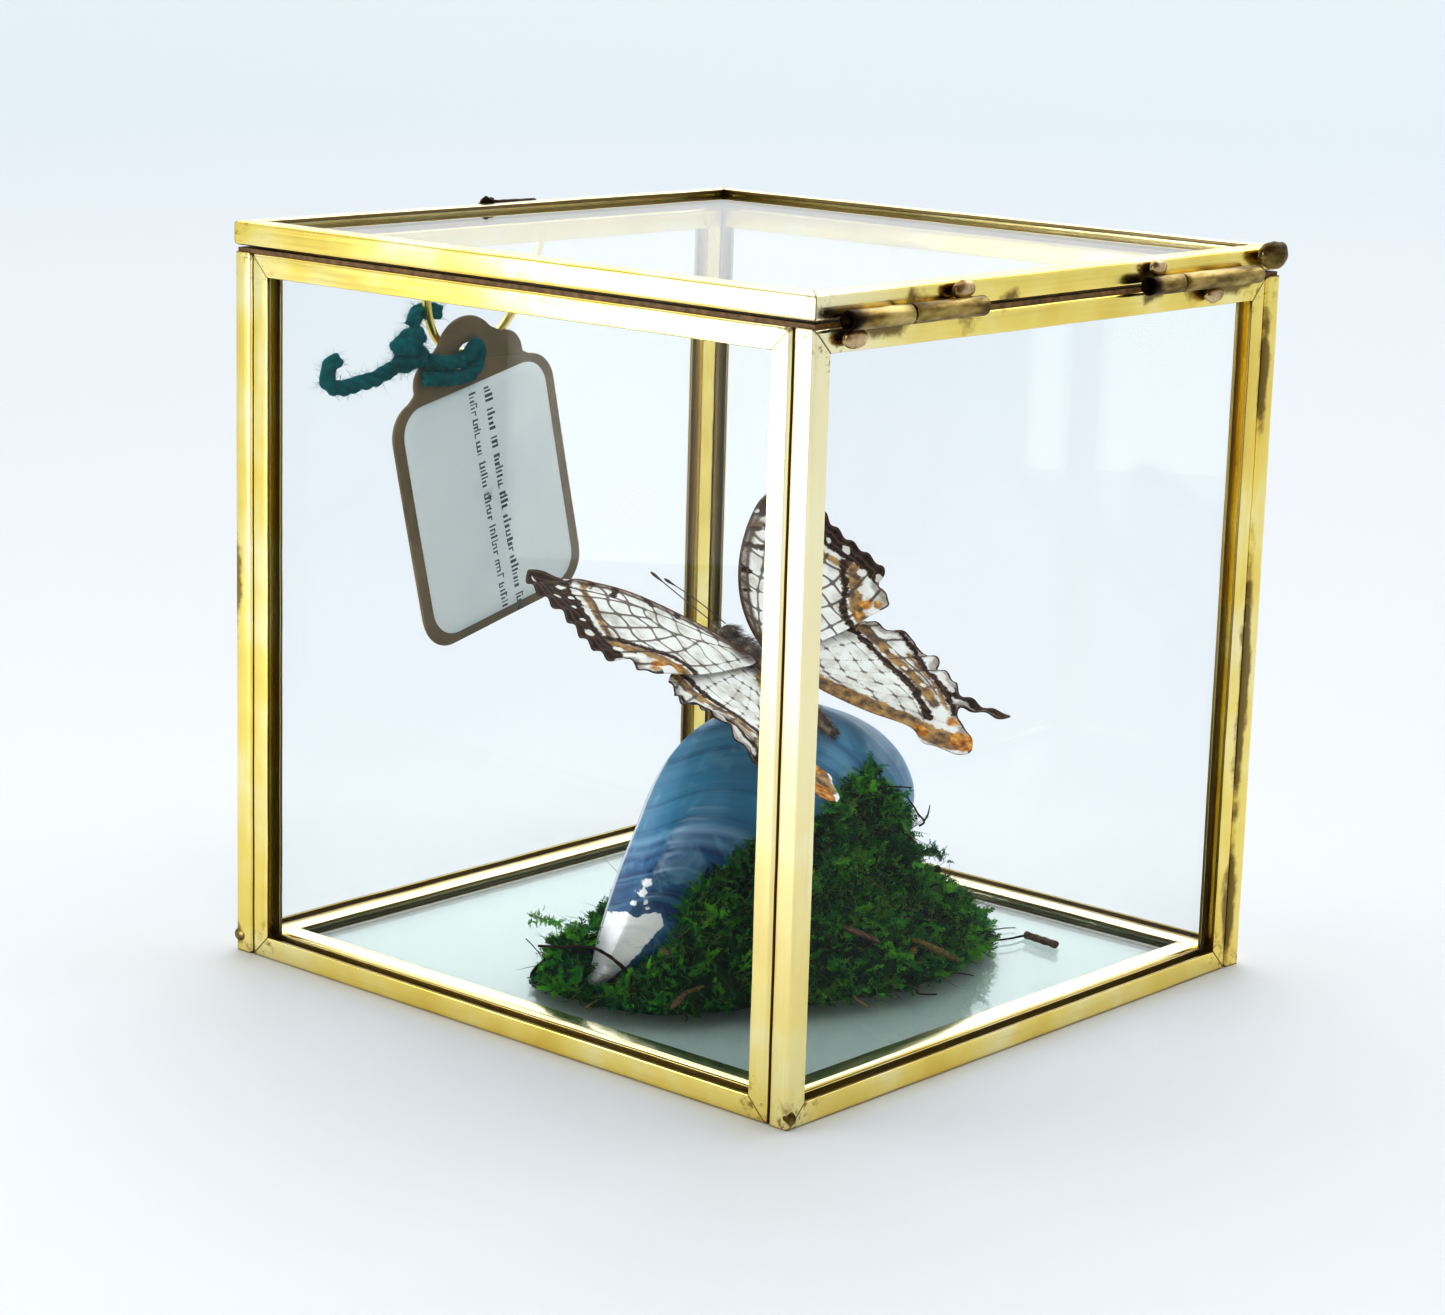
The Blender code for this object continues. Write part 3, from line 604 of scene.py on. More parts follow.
# Brown smears on the brass: their middles and how far they reach
SMEARS = (
    ((50.0, -43.0, 96.0), (2.0, 3.0, 1.6)),
    ((50.0, -36.0, 95.6), (2.0, 5.0, 1.6)),
    ((50.0, -30.0, 98.4), (2.0, 3.0, 1.6)),
    ((50.0, -21.0, 98.6), (2.0, 2.6, 1.6)),
    ((50.0, -20.0, 94.6), (2.0, 3.0, 1.6)),
    ((50.0, -12.0, 97.0), (2.0, 2.4, 1.6)),
    ((50.0, 17.0, 98.6), (2.0, 2.6, 1.6)),
    ((50.0, 19.0, 95.4), (2.0, 2.8, 1.6)),
    ((50.0, 29.0, 95.0), (2.0, 5.0, 1.6)),
    ((50.0, 38.0, 95.4), (2.0, 5.0, 1.6)),
    ((50.0, 44.0, 98.6), (2.0, 3.4, 1.6)),
    ((50.0, 45.5, 84.0), (1.4, 1.6, 9.0)),
    ((50.0, 45.3, 40.0), (1.4, 1.5, 22.0)),
    ((50.0, 45.0, 8.0), (1.4, 1.6, 8.0)),
    ((-50.0, -48.3, 52.0), (1.5, 1.0, 8.0)),
    ((-50.0, -48.3, 2.0), (2.2, 2.0, 2.5)),
    ((50.0, -48.3, 1.5), (2.0, 2.0, 1.6)),
    ((-47.0, 45.2, 55.0), (1.0, 1.0, 70.0)),
)


def came_section():
    """The U of a came bar with its edges rounded: depth from its back, and across the pane."""
    half = CAME_THICK / 2
    slot = half - CAME_WALL
    corners = (
        (0.0, half),
        (CAME_LEG, half),
        (CAME_LEG, slot),
        (CAME_WALL + 0.1, slot),
        (CAME_WALL + 0.1, -slot),
        (CAME_LEG, -slot),
        (CAME_LEG, -half),
        (0.0, -half),
    )
    reaches = (0.6, 0.18, 0.14, 0.05, 0.05, 0.14, 0.18, 0.6)
    return soften(corners, reaches, 5)


def make_bar(node, corner, along, inward, across, length, material, body, seed, facing):
    """One came bar, mitred and a little uneven as hand-drawn came is."""
    section = came_section()
    stations = np.linspace(0, 1, BAR_STATIONS)
    steps = np.linalg.norm(np.diff(section, axis=0, append=section[:1]), axis=1)
    around = np.concatenate([[0.0], np.cumsum(steps)[:-1]])
    points, values = [], []
    smears = [(np.array(centre), np.array(reach)) for centre, reach in SMEARS]
    for share in stations:
        for (depth, side), turn in zip(section, around):
            run = depth + share * (length - 2 * depth)
            spot = corner + inward * depth + across * side + along * run
            wave = noise.noise_vector(Vector(spot) / 11.0) * 0.05
            wave += noise.noise_vector(Vector(spot) / 2.5) * 0.02
            points.append(spot + np.array(wave))
            # lip: the channel's inside and the inner edge along the glass, which the brass paints dark
            # as shade
            inside = 1.0 if abs(side) < CAME_THICK / 2 - CAME_WALL + 0.02 and depth > 0.3 else 0.0
            inside = max(inside, 0.8 * float(depth > CAME_LEG - 0.05))
            mitre = min(run, length - run) - depth
            smear = sum(exp(-np.sum(((spot - centre) / reach) ** 2)) for centre, reach in smears)
            # Painted highlight: paler brass by the near upright edge, more towards the top, and on the
            # base frame and the far lid bars' upper halves
            gap = np.linalg.norm(spot[:2] - PAINTED_GLARE_EDGE)
            near = exp(-((gap / PAINTED_GLARE_REACH) ** 2))
            pale = near * min(0.85, 0.1 + 0.75 * spot[2] / PAINTED_GLARE_HEIGHT)
            if node.startswith("base") or node in ("lid_back_bar", "lid_tag_side_bar") and side > 0:
                pale = BASE_PAINTED_GLARE
            lip, hidden = inside * depth / CAME_LEG, facing(depth, side)
            values.append((run, turn, mitre, lip, hidden, smear, pale))
    faces = ring_faces(len(stations), len(section))
    bar = make_piece(f"{node}_came", points, faces, material, body, [node])
    bar.data.set_sharp_from_angle(angle=SHARP_ANGLE)
    for name, column in zip(BAR_VALUES, np.array(values).T):
        set_values(bar, name, column)
    set_values(bar, "seed", np.full(len(points), seed))


def box_frames():
    """Each came frame: its name, middle, directions, size and the body it belongs to."""
    side_x = (BOX_WIDTH - CAME_THICK) / 2
    front_y = (CAME_THICK - BOX_DEPTH) / 2
    middle_z = BODY_HEIGHT / 2
    inset = CAME_THICK + JOIN_GAP
    side_depth = BOX_DEPTH - inset
    side_y = -inset / 2
    inner_width, inner_depth = BOX_WIDTH - 2 * inset, BOX_DEPTH - 2 * inset
    lid_z = BOX_HEIGHT - CAME_THICK / 2
    return (
        ("front", (0, front_y, middle_z), X_AXIS, Z_AXIS, inner_width, BODY_HEIGHT, "box"),
        ("hinge_side", (side_x, side_y, middle_z), Y_AXIS, Z_AXIS, side_depth, BODY_HEIGHT, "box"),
        ("back", (0, -front_y, middle_z), -X_AXIS, Z_AXIS, BOX_WIDTH, BODY_HEIGHT, "box"),
        ("tag_side", (-side_x, side_y, middle_z), -Y_AXIS, Z_AXIS, side_depth, BODY_HEIGHT, "box"),
        ("base", (0, 0, CAME_THICK / 2), X_AXIS, Y_AXIS, inner_width, inner_depth, "box"),
        ("lid", (0, 0, lid_z), X_AXIS, Y_AXIS, BOX_WIDTH, BOX_DEPTH, "lid"),
    )


def met_face(prefix, name):
    """A rule for which points of a bar's section lie against another frame, from 0 to 1, painted dark
    as shade with tarnishing.
    """

    def underside(depth, side):
        return max(0.0, 1 - depth / CAME_LEG) if side < 0.1 - CAME_THICK / 2 else 0.0

    def back(depth, side):
        return 1.0 if depth < 0.08 else 0.0

    def nowhere(depth, side):
        return 0.0

    if prefix == "lid":
        return underside
    if name == "top_bar" or (prefix == "front" and name.endswith("post")):
        return back
    return nowhere


def make_case():
    """All the came bars, and the finish of the panes."""
    brass = brass_material()
    # The upright panes bend light less than plain glass does, so that they mirror less of the room
    clear = glass_material("clear_glass", (0.965, 0.98, 0.985), 0.02, 1.18)
    green = glass_material("base_glass", (0.82, 0.885, 0.85), 0.12, 1.28)
    seed = 0
    for prefix, centre, right, up, width, height, body in box_frames():
        across = np.cross(right, up)
        names = FLAT_BAR_NAMES if abs(up[2]) < 0.5 else UPRIGHT_BAR_NAMES
        half_right, half_up = right * width / 2, up * height / 2
        walls = (
            (-half_right - half_up, right, up, width),
            (half_right - half_up, up, -right, height),
            (half_right + half_up, -right, -up, width),
            (half_up - half_right, -up, right, height),
        )
        for name, (corner, along, inward, length) in zip(names, walls):
            start = np.asarray(centre, float) + corner
            seed += 7.3
            node, facing = f"{prefix}_{name}", met_face(prefix, name)
            make_bar(node, start, along, inward, across, length, brass, body, seed, facing)
        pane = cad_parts[f"{prefix}_pane"]
        pane.data.materials.clear()
        pane.data.materials.append(green if prefix == "base" else clear)
    return brass


# The hinges, the catch, the bail and the lumps of solder

HINGE_AXIS_X = 51.7
HINGE_AXIS_Z = 96.9
KNUCKLE_RADIUS = 1.22
KNUCKLE_EDGE = 0.12
KNUCKLE_SIDES = 36
KNUCKLE_BORE = 0.85
PIN_RADIUS = 0.5
PIN_INSET = 1.2
HINGE_ENDS = {
    "front": {"box": (-44.6, -33.3), "lid": (-33.0, -19.2)},
    "rear": {"lid": (15.0, 22.0), "box": (22.3, 40.0)},
}
BOX_SOLDER_CENTRES = {"front": (51.0, -42.3, 94.6), "rear": (51.0, 31.0, 94.6)}
LID_SOLDER_CENTRES = {"front": (51.0, -22.4, 99.0), "rear": (51.0, 17.9, 99.1)}
BOX_SOLDER_RADII = (0.7, 2.2, 1.1)
LID_SOLDER_RADII = (0.8, 1.9, 1.2)
LID_CORNER_CENTRE = (51.3, 44.3, 99.1)
LID_CORNER_RADII = (1.2, 3.3, 1.8)
CATCH_ENDS = ((-50.9, 0.2, 99.7), (-50.9, 8.6, 99.6))
CATCH_RADIUS = 0.55
CATCH_BEAD_CENTRE = (-50.9, -0.8, 99.5)
CATCH_BEAD_RADII = (1.1, 1.4, 1.25)
WIRE_RADIUS = 0.65
WIRE_SIDES = 18
# Small brown drops on the front's lower corners
FOOT_LUMPS = ((-49.3, -47.9, 2.0), (49.4, -47.7, 1.5))
FOOT_LUMP_RADII = (1.2, 0.6, 1.0)
# Painted shade in the gap under the lid: the dark strip's height above the body, and its insets from
# the outside
SEAM_HEIGHT = 0.52
SEAM_OUTER = 0.35
SEAM_INNER = 2.6
BAIL_ROUTE = (
    (-51.0, -12.2, 95.6),
    (-51.7, -11.8, 91.0),
    (-52.7, -10.7, 86.0),
    (-53.5, -8.6, 81.8),
    (-53.8, -5.4, 79.2),
    (-53.8, -1.2, 78.5),
    (-53.8, 3.0, 79.9),
    (-53.4, 6.6, 83.2),
    (-52.7, 9.2, 87.5),
    (-51.7, 10.1, 91.6),
    (-51.0, 10.3, 95.6),
)


def knuckle_mesh(start, end, seed):
    """A short hinge tube with its bore open at both ends."""
    spots = np.linspace(start + KNUCKLE_EDGE, end - KNUCKLE_EDGE, 22)
    section = [(KNUCKLE_RADIUS - KNUCKLE_EDGE, start)]
    section += [(KNUCKLE_RADIUS, spot) for spot in spots]
    section += [(KNUCKLE_RADIUS - KNUCKLE_EDGE, end), (KNUCKLE_BORE, end), (KNUCKLE_BORE, start)]
    points = []
    for radius, spot in section:
        for side in range(KNUCKLE_SIDES):
            turn = 2 * pi * side / KNUCKLE_SIDES
            way = np.array([cos(turn), 0.0, sin(turn)])
            uneven = 0.05 * rough_noise(way * 2 + Y_AXIS * spot + seed, 2.5)
            points.append((HINGE_AXIS_X, spot, HINGE_AXIS_Z) + way * (radius + uneven))
    return np.array(points), looped_faces(len(section), KNUCKLE_SIDES)


def solder_piece(name, centre, radii, material, body, replaced=(), seed=0.0):
    """A flattened drop of solder, and how far each of its points stands from the bar under it."""
    points, faces = lump(centre, radii, 2.8, 0.2, seed=seed)
    piece = make_piece(name, points, faces, material, body, replaced)
    set_values(piece, "foot", (points[:, 0] - points[:, 0].min()) / np.ptp(points[:, 0]))
    set_values(piece, "from_end", np.full(len(points), 1.6))


def make_hinges():
    tarnished = tarnished_material()
    solder = solder_material()
    for which, ends in HINGE_ENDS.items():
        for side, centres, radii in (
            ("box", BOX_SOLDER_CENTRES, BOX_SOLDER_RADII),
            ("lid", LID_SOLDER_CENTRES, LID_SOLDER_RADII),
        ):
            seed = ends[side][0]
            node = f"{which}_hinge_{side}_knuckle"
            points, faces = knuckle_mesh(*ends[side], seed)
            name = f"{which}_{side}_tube"
            knuckle = make_piece(name, points, faces, tarnished, side, [node])
            # from_end: distance from the hinge's front end, where the tube is painted dark as shade
            set_values(knuckle, "from_end", points[:, 1] - min(ends["box"][0], ends["lid"][0]))
            solder_piece(f"{which}_{side}_solder", centres[which], radii, solder, side, seed=seed)
        first = min(ends["box"][0], ends["lid"][0]) + PIN_INSET
        last = max(ends["box"][1], ends["lid"][1]) - PIN_INSET
        route = [(HINGE_AXIS_X, first, HINGE_AXIS_Z), (HINGE_AXIS_X, last, HINGE_AXIS_Z)]
        points, faces = tube(route, PIN_RADIUS, 20)
        node = f"{which}_hinge_pin"
        make_piece(f"{node}_wire", points, faces, tarnished, "box", [node])
    corner = ["lid_corner_solder"]
    solder_piece("corner_lump", LID_CORNER_CENTRE, LID_CORNER_RADII, tarnished, "lid", corner, 4.0)
    for number, centre in enumerate(FOOT_LUMPS):
        name = f"foot_lump_{number + 1}"
        solder_piece(name, centre, FOOT_LUMP_RADII, tarnished, "box", seed=6.0 + number)
    catch = tube(np.linspace(*CATCH_ENDS, 12), CATCH_RADIUS, 14, 0.05)
    bead = lump(CATCH_BEAD_CENTRE, CATCH_BEAD_RADII, 1.2, 0.3, seed=9.0)
    points, faces, _ = join_meshes([catch, bead])
    make_piece("catch_wire", points, faces, tarnished, "lid", ["lid_catch"])


def make_gap_shadow_strip():
    """A dark strip on the body's top edge, just under the lid: painted shade standing in for the
    shadowed gap between lid and body.
    """
    shader = Shader("painted_gap_shadow")
    grain = shader.noise(1.2, 4)
    colour = shader.ramp(grain, (0.3, (0.10, 0.050, 0.012)), (0.7, (0.30, 0.17, 0.045)))
    shader.set(Base_Color=colour, Roughness=0.5)
    top = BODY_HEIGHT + SEAM_HEIGHT
    foot = BODY_HEIGHT - 0.1
    section = ((SEAM_OUTER, foot), (SEAM_OUTER, top), (SEAM_INNER, top), (SEAM_INNER, foot))
    corners = np.array([(-1, -1), (1, -1), (1, 1), (-1, 1)])
    points = []
    for corner, following in zip(corners, np.roll(corners, -1, axis=0)):
        for share in np.arange(24) / 24:
            way = corner + (following - corner) * share
            for inset, height in section:
                x, y = way * (BOX_WIDTH / 2 - inset, BOX_DEPTH / 2 - inset)
                wobble = 0.12 * noise.noise((x / 5, y / 5, inset))
                points.append((x + way[0] * wobble, y + way[1] * wobble, height))
    count = len(points)
    faces = []
    for first in range(0, count, 4):
        for side in range(4):
            after = (side + 1) % 4
            corners_round = (first + side, first + after, first + 4 + after, first + 4 + side)
            faces.append(tuple(corner % count for corner in corners_round))
    material = shader.material
    make_piece("lid_gap_shadow", points, faces, material, "box", smooth=False)


def make_bail(brass):
    """The wire loop that hangs from the top bar of the tag side."""
    route = smooth_route(BAIL_ROUTE, 10)
    points, faces = tube(route, WIRE_RADIUS, WIRE_SIDES)
    bail = make_piece("bail_wire", points, faces, brass, "box", ["bail"])
    run = np.repeat(np.arange(len(route)) * 0.6, WIRE_SIDES)
    set_values(bail, "along", run)
    set_values(bail, "around", np.tile(np.arange(WIRE_SIDES) * 0.23, len(route)))
    set_values(bail, "from_end", np.minimum(run, run.max() - run) * 0.6)
    for name in BAR_VALUES[3:]:
        set_values(bail, name, np.zeros(len(points)))
    set_values(bail, "seed", np.full(len(points), 3.0))


# The tag and its label

TAG_TOP_CENTRE = (-2.3, 74.9)
TAG_TURN = radians(13.0)
TAG_WIDTH = 32.6
TAG_HEIGHT = 36.8
TAG_CORNER = 5.0
TAG_OUTER_X = -52.8
TAG_THICK = 0.6
LABEL_WIDTH = 28.8
LABEL_HEIGHT = 34.4
LABEL_CORNER = 4.2
LABEL_TOP = -0.9
LABEL_THICK = 0.14
CARD_RINGS = 14
HOLE_UP = 3.1
HOLE_RADIUS = 2.3
# The tag's lobed head, right half: each arc's middle, radius and two angles in degrees
HEAD_LOBES = (
    ((7.4, 1.5), 3.4, -10, 90),
    ((0.0, 3.2), 6.0, 32, 90),
)
# Rows of made-up print on the label: where each runs across the tag, its height and its weight
PRINT_ROWS = ((2.7, 1.5, 0.30), (-0.4, 1.35, 0.2))
PRINT_TOP = -2.0
PRINT_BOTTOM = -34.0
PRINT_LIFT = 0.02
PRINT_WORD_LENGTHS = (3, 9)
PRINT_WORD_GAP = 0.8
PRINT_TALLS = (0.62, 0.62, 0.8, 1.0)
# The share of strokes with a cross stroke, and its size
PRINT_LINKS = 0.45
PRINT_LINK_WIDE = 0.2
PRINT_LINK_LONG = 0.7


def arc(centre, radius, first, last, steps):
    """Points along an arc between two angles in degrees."""
    angles = np.radians(np.linspace(first, last, steps + 1))
    return np.array(centre) + radius * np.column_stack([np.cos(angles), np.sin(angles)])


def mirror_outline(half):
    """A whole outline from its right half, which runs from the bottom to the top."""
    left = half[::-1] * (-1, 1)
    return np.vstack([half, left[np.abs(left[:, 0]) > 0.001]])


def even_outline(outline, count):
    """A closed outline as evenly spaced points."""
    closed = np.vstack([outline, outline[:1]])
    runs = np.concatenate([[0], np.cumsum(np.linalg.norm(np.diff(closed, axis=0), axis=1))])
    spots = np.linspace(0, runs[-1], count, endpoint=False)
    return np.column_stack([np.interp(spots, runs, closed[:, axis]) for axis in (0, 1)])


def on_tag(flat, x):
    """Points given across and up the tag, in the plane of the box's tag side."""
    across, up = flat[:, 0], flat[:, 1]
    y = TAG_TOP_CENTRE[0] + across * cos(TAG_TURN) - up * sin(TAG_TURN)
    z = TAG_TOP_CENTRE[1] + across * sin(TAG_TURN) + up * cos(TAG_TURN)
    # Handled card is never quite flat
    bow = 0.10 * np.sin(up / 9.0) + 0.06 * np.sin(across / 5.0 + up / 14.0)
    return np.column_stack([x + bow, y, z])


def card_mesh(outer, inner, back_x, thick):
    """A thin card between an inner and an outer outline, with softened edges."""
    edge = 0.25 * thick
    shares = np.linspace(0, 1, CARD_RINGS)
    levels = [(share, back_x + thick) for share in shares] + [(1.0, back_x + thick / 2)]
    levels += [(share, back_x) for share in shares[::-1]]
    points = []
    for share, x in levels:
        pull = 1 - edge / 16 if share == 1.0 and x != back_x + thick / 2 else 1.0
        points.append(on_tag(inner + (outer * pull - inner) * share, x))
    return np.vstack(points), looped_faces(len(levels), len(outer))


def kraft_material():
    """Brown recycled card with paler fibres."""
    shader = Shader("kraft_card")
    fibres = shader.noise(0.5, 6, shader.millimetres((1, 1, 3)), roughness=0.7)
    clouds = shader.noise(6.0, 3)
    colour = shader.ramp(clouds, (0.35, (0.190, 0.140, 0.072)), (0.65, (0.260, 0.190, 0.105)))
    colour = shader.mix(shader.range(fibres, 0.55, 0.75, 0, 0.5), colour, (0.38, 0.27, 0.18))
    colour = shader.mix(shader.range(fibres, 0.42, 0.3, 0, 0.5), colour, (0.08, 0.045, 0.03))
    shader.set(Base_Color=colour, Roughness=0.85)
    shader.bump(fibres, 0.4, 0.05)
    return shader.material


def label_material():
    """Cool white paper with a faint grey grain."""
    shader = Shader("label_paper")
    grain = shader.noise(0.4, 5, roughness=0.7)
    clouds = shader.noise(9.0, 3)
    colour = shader.ramp(clouds, (0.3, (0.86, 0.91, 0.91)), (0.7, (0.94, 0.97, 0.96)))
    colour = shader.mix(shader.range(grain, 0.5, 0.75, 0, 0.25), colour, (0.74, 0.80, 0.81))
    shader.set(Base_Color=colour, Roughness=0.75)
    shader.bump(grain, 0.2, 0.03)
    return shader.material


def make_print(material):
    """Rows of short strokes in word-like groups, which spell nothing."""
    x = TAG_OUTER_X + TAG_THICK + LABEL_THICK + PRINT_LIFT
    points, faces = [], []
    for across, height, weight in PRINT_ROWS:
        up = PRINT_TOP
        while up > PRINT_BOTTOM:
            for _ in range(int(RANDOM.integers(*PRINT_WORD_LENGTHS))):
                wide = weight * RANDOM.uniform(0.7, 1.6)
                tall = height * RANDOM.choice(PRINT_TALLS)
                low = across - height / 2
                strokes = [(low, low + tall, up - wide)]
                if RANDOM.random() < PRINT_LINKS:
                    bar = low + tall * RANDOM.choice([0.0, 0.8])
                    strokes.append((bar, bar + PRINT_LINK_WIDE, up - PRINT_LINK_LONG))
                for left, right, foot in strokes:
                    corners = [(left, up), (right, up), (right, foot), (left, foot)]
                    faces.append(tuple(range(len(points), len(points) + 4)))
                    points += on_tag(np.array(corners), x).tolist()
                up -= wide + RANDOM.uniform(0.22, 0.42)
            up -= PRINT_WORD_GAP
    make_piece("label_print", points, faces, material, "box", smooth=False)


def make_tag():
    """The kraft tag with its hole and lobed head, and the pale label with rows of strokes."""
    reach = TAG_WIDTH / 2 - TAG_CORNER
    lobes = [arc(*lobe, 16) for lobe in HEAD_LOBES]
    foot = arc((reach, TAG_CORNER - TAG_HEIGHT), TAG_CORNER, -90, 0, 16)
    shoulder = arc((reach, -TAG_CORNER), TAG_CORNER, 0, 80, 16)
    outer = even_outline(mirror_outline(np.vstack([foot, shoulder, *lobes])), 260)
    hole_centre = np.array([0.0, HOLE_UP])
    ways = outer - hole_centre
    inner = hole_centre + ways / np.linalg.norm(ways, axis=1)[:, None] * HOLE_RADIUS
    points, faces = card_mesh(outer, inner, TAG_OUTER_X, TAG_THICK)
    make_piece("tag_card", points, faces, kraft_material(), "box", ["tag"])

    reach = LABEL_WIDTH / 2 - LABEL_CORNER
    foot = arc((reach, LABEL_TOP - LABEL_HEIGHT + LABEL_CORNER), LABEL_CORNER, -90, 0, 14)
    shoulder = arc((reach, LABEL_TOP - LABEL_CORNER), LABEL_CORNER, 0, 90, 14)
    outer = even_outline(mirror_outline(np.vstack([foot, shoulder])), 220)
    middle = np.array([0.0, LABEL_TOP - LABEL_HEIGHT / 2])
    inner = middle + (outer - middle) * 0.02
    points, faces = card_mesh(outer, inner, TAG_OUTER_X + TAG_THICK, LABEL_THICK)
    make_piece("label_paper", points, faces, label_material(), "box", ["tag_label"])
    ink = Shader("faded_ink")
    colour = ink.ramp(ink.noise(0.8), (0.3, (0.03, 0.07, 0.08)), (0.7, (0.14, 0.21, 0.22)))
    ink.set(Base_Color=colour, Roughness=0.8)
    make_print(ink.material)


# The yarn

YARN_RADIUS = 1.15
KNOT_CENTRE = np.array([-51.9, -14.7, 79.8])
KNOT_RADII = np.array([2.3, 3.0, 4.0])
YARN_TAIL = (
    (-51.9, -17.6, 77.6),
    (-51.8, -21.7, 76.5),
    (-51.7, -25.4, 76.0),
    (-51.6, -28.8, 75.9),
    (-51.6, -30.4, 77.0),
    (-51.6, -29.8, 78.9),
    (-51.7, -28.4, 80.0),
)
YARN_TAG_LOOP = (
    (-50.9, -12.0, 78.4),
    (-50.8, -9.0, 77.8),
    (-50.7, -6.0, 77.9),
    (-50.7, -4.0, 79.0),
    (-50.7, -2.7, 79.7),
    (-50.7, -2.3, 78.2),
    (-50.7, -3.6, 76.2),
    (-50.7, -6.8, 75.5),
    (-50.8, -9.8, 75.7),
    (-50.9, -12.4, 75.9),
)
YARN_BAIL_LOOP = (
    (-53.5, -12.4, 83.3),
    (-54.4, -11.4, 84.2),
    (-55.0, -9.9, 84.7),
    (-55.0, -8.0, 84.8),
    (-54.4, -6.4, 84.6),
)
# Each turn of the knot: its lift, its tilt and its size
KNOT_TURNS = ((1.5, 0.5, 0.86), (0.2, -0.35, 1.0), (-1.3, 0.25, 0.92), (0.6, 1.25, 0.8))
PLY_COUNT = 3
PLY_SIDES = 12
PLY_TURN_LENGTH = 6.5
FUZZ_COUNT = 420
FUZZ_REACH = 1.5
FUZZ_RADIUS = 0.022
FIBRE_SIDES = 3
FIBRE_TAPER = np.array([1.0, 0.9, 0.75, 0.5, 0.15])


def route_frames(route):
    """Two directions across a route at each of its points, and the distance run so far."""
    ahead = np.gradient(route, axis=0)
    ahead /= np.linalg.norm(ahead, axis=1)[:, None]
    side = np.cross(ahead[0], X_AXIS if abs(ahead[0][0]) < 0.8 else Y_AXIS)
    sides = []
    for way in ahead:
        side = side - way * np.dot(side, way)
        side /= np.linalg.norm(side)
        sides.append(side)
    sides = np.array(sides)
    runs = np.concatenate([[0], np.cumsum(np.linalg.norm(np.diff(route, axis=0), axis=1))])
    return sides, np.cross(ahead, sides), runs


def twist_plies(route, radius):
    """Plies of wool wound round each other along a route."""
    sides, others, runs = route_frames(route)
    ply_radius = radius * 0.6
    meshes = []
    for ply in range(PLY_COUNT):
        turn = 2 * pi * (runs / PLY_TURN_LENGTH + ply / PLY_COUNT)
        sway = radius - ply_radius
        centres = route + sway * (np.cos(turn)[:, None] * sides + np.sin(turn)[:, None] * others)
        swell = 1 + 0.10 * np.sin(runs * 2.1 + ply * 2.0) + 0.05 * np.sin(runs * 5.3 + ply)
        swell[0] = swell[-1] = 0.55
        meshes.append(tube(centres, ply_radius * swell, PLY_SIDES, 0.05))
    return meshes


def fibre_mesh(starts, ways, lengths, bends, radius):
    """Many thin curved hairs as three-sided tubes that end in a point."""
    stations = np.linspace(0, 1, len(FIBRE_TAPER))
    spots = starts[:, None] + lengths[:, None, None] * (
        ways[:, None] * stations[None, :, None] + bends[:, None] * stations[None, :, None] ** 2
    )
    guide = np.where(np.abs(ways[:, :1]) < 0.8, X_AXIS, Y_AXIS)
    sides = np.cross(ways, guide)
    sides /= np.linalg.norm(sides, axis=1)[:, None]
    others = np.cross(ways, sides)
    taper = radius * FIBRE_TAPER
    rings = []
    for corner in range(FIBRE_SIDES):
        turn = 2 * pi * corner / FIBRE_SIDES
        offset = sides * cos(turn) + others * sin(turn)
        rings.append(spots + offset[:, None] * taper[None, :, None])
    points = np.stack(rings, axis=2).reshape(-1, 3)
    pattern = np.array(ring_faces(len(FIBRE_TAPER), FIBRE_SIDES, caps=False))
    offsets = np.arange(len(starts)) * len(FIBRE_TAPER) * FIBRE_SIDES
    faces = offsets[:, None, None] + pattern
    return points, faces.reshape(-1, 4)


def unit_rows(rows):
    return rows / np.linalg.norm(rows, axis=1)[:, None]


def wool_fuzz(spots, centres, count):
    """Loose hairs that stand off the wool."""
    picks = RANDOM.integers(0, len(spots), count)
    out = unit_rows(spots[picks] - centres[picks])
    ways = unit_rows(out + RANDOM.normal(0, 0.8, (count, 3)))
    bends = RANDOM.normal(0, 0.5, (count, 3))
    lengths = RANDOM.uniform(0.4, 1.0, count) * FUZZ_REACH
    return fibre_mesh(spots[picks], ways, lengths, bends, FUZZ_RADIUS)


def wool_material():
    """Teal wool with darker and paler strands."""
    shader = Shader("teal_wool")
    strands = shader.noise(0.35, 5, roughness=0.7, distortion=1.5)
    clouds = shader.noise(3.0, 3)
    colour = shader.ramp(
        strands, (0.3, (0.0, 0.040, 0.046)), (0.5, (0.0, 0.145, 0.150)), (0.72, (0.002, 0.30, 0.30))
    )
    colour = shader.mix(shader.range(clouds, 0.4, 0.7, 0, 0.5), colour, (0.0, 0.065, 0.078))
    shader.set(Base_Color=colour, Roughness=0.95, Specular_IOR_Level=0.08, Sheen_Weight=0.1)
    shader.set(Sheen_Roughness=0.5, Sheen_Tint=(0.03, 0.6, 0.6))
    shader.bump(strands, 0.8, 0.15)
    return shader.material


def knot_routes():
    """The turns of yarn that make the knot."""
    routes = []
    for lift, tilt, size in KNOT_TURNS:
        turns = np.linspace(0, 2 * pi, 36)
        radii = (KNOT_RADII - YARN_RADIUS * 0.85) * size
        x = radii[0] * np.cos(turns)
        y = radii[1] * np.sin(turns)
        z = lift + y * sin(tilt)
        routes.append(KNOT_CENTRE + np.column_stack([x, y * cos(tilt), z]))
    return routes


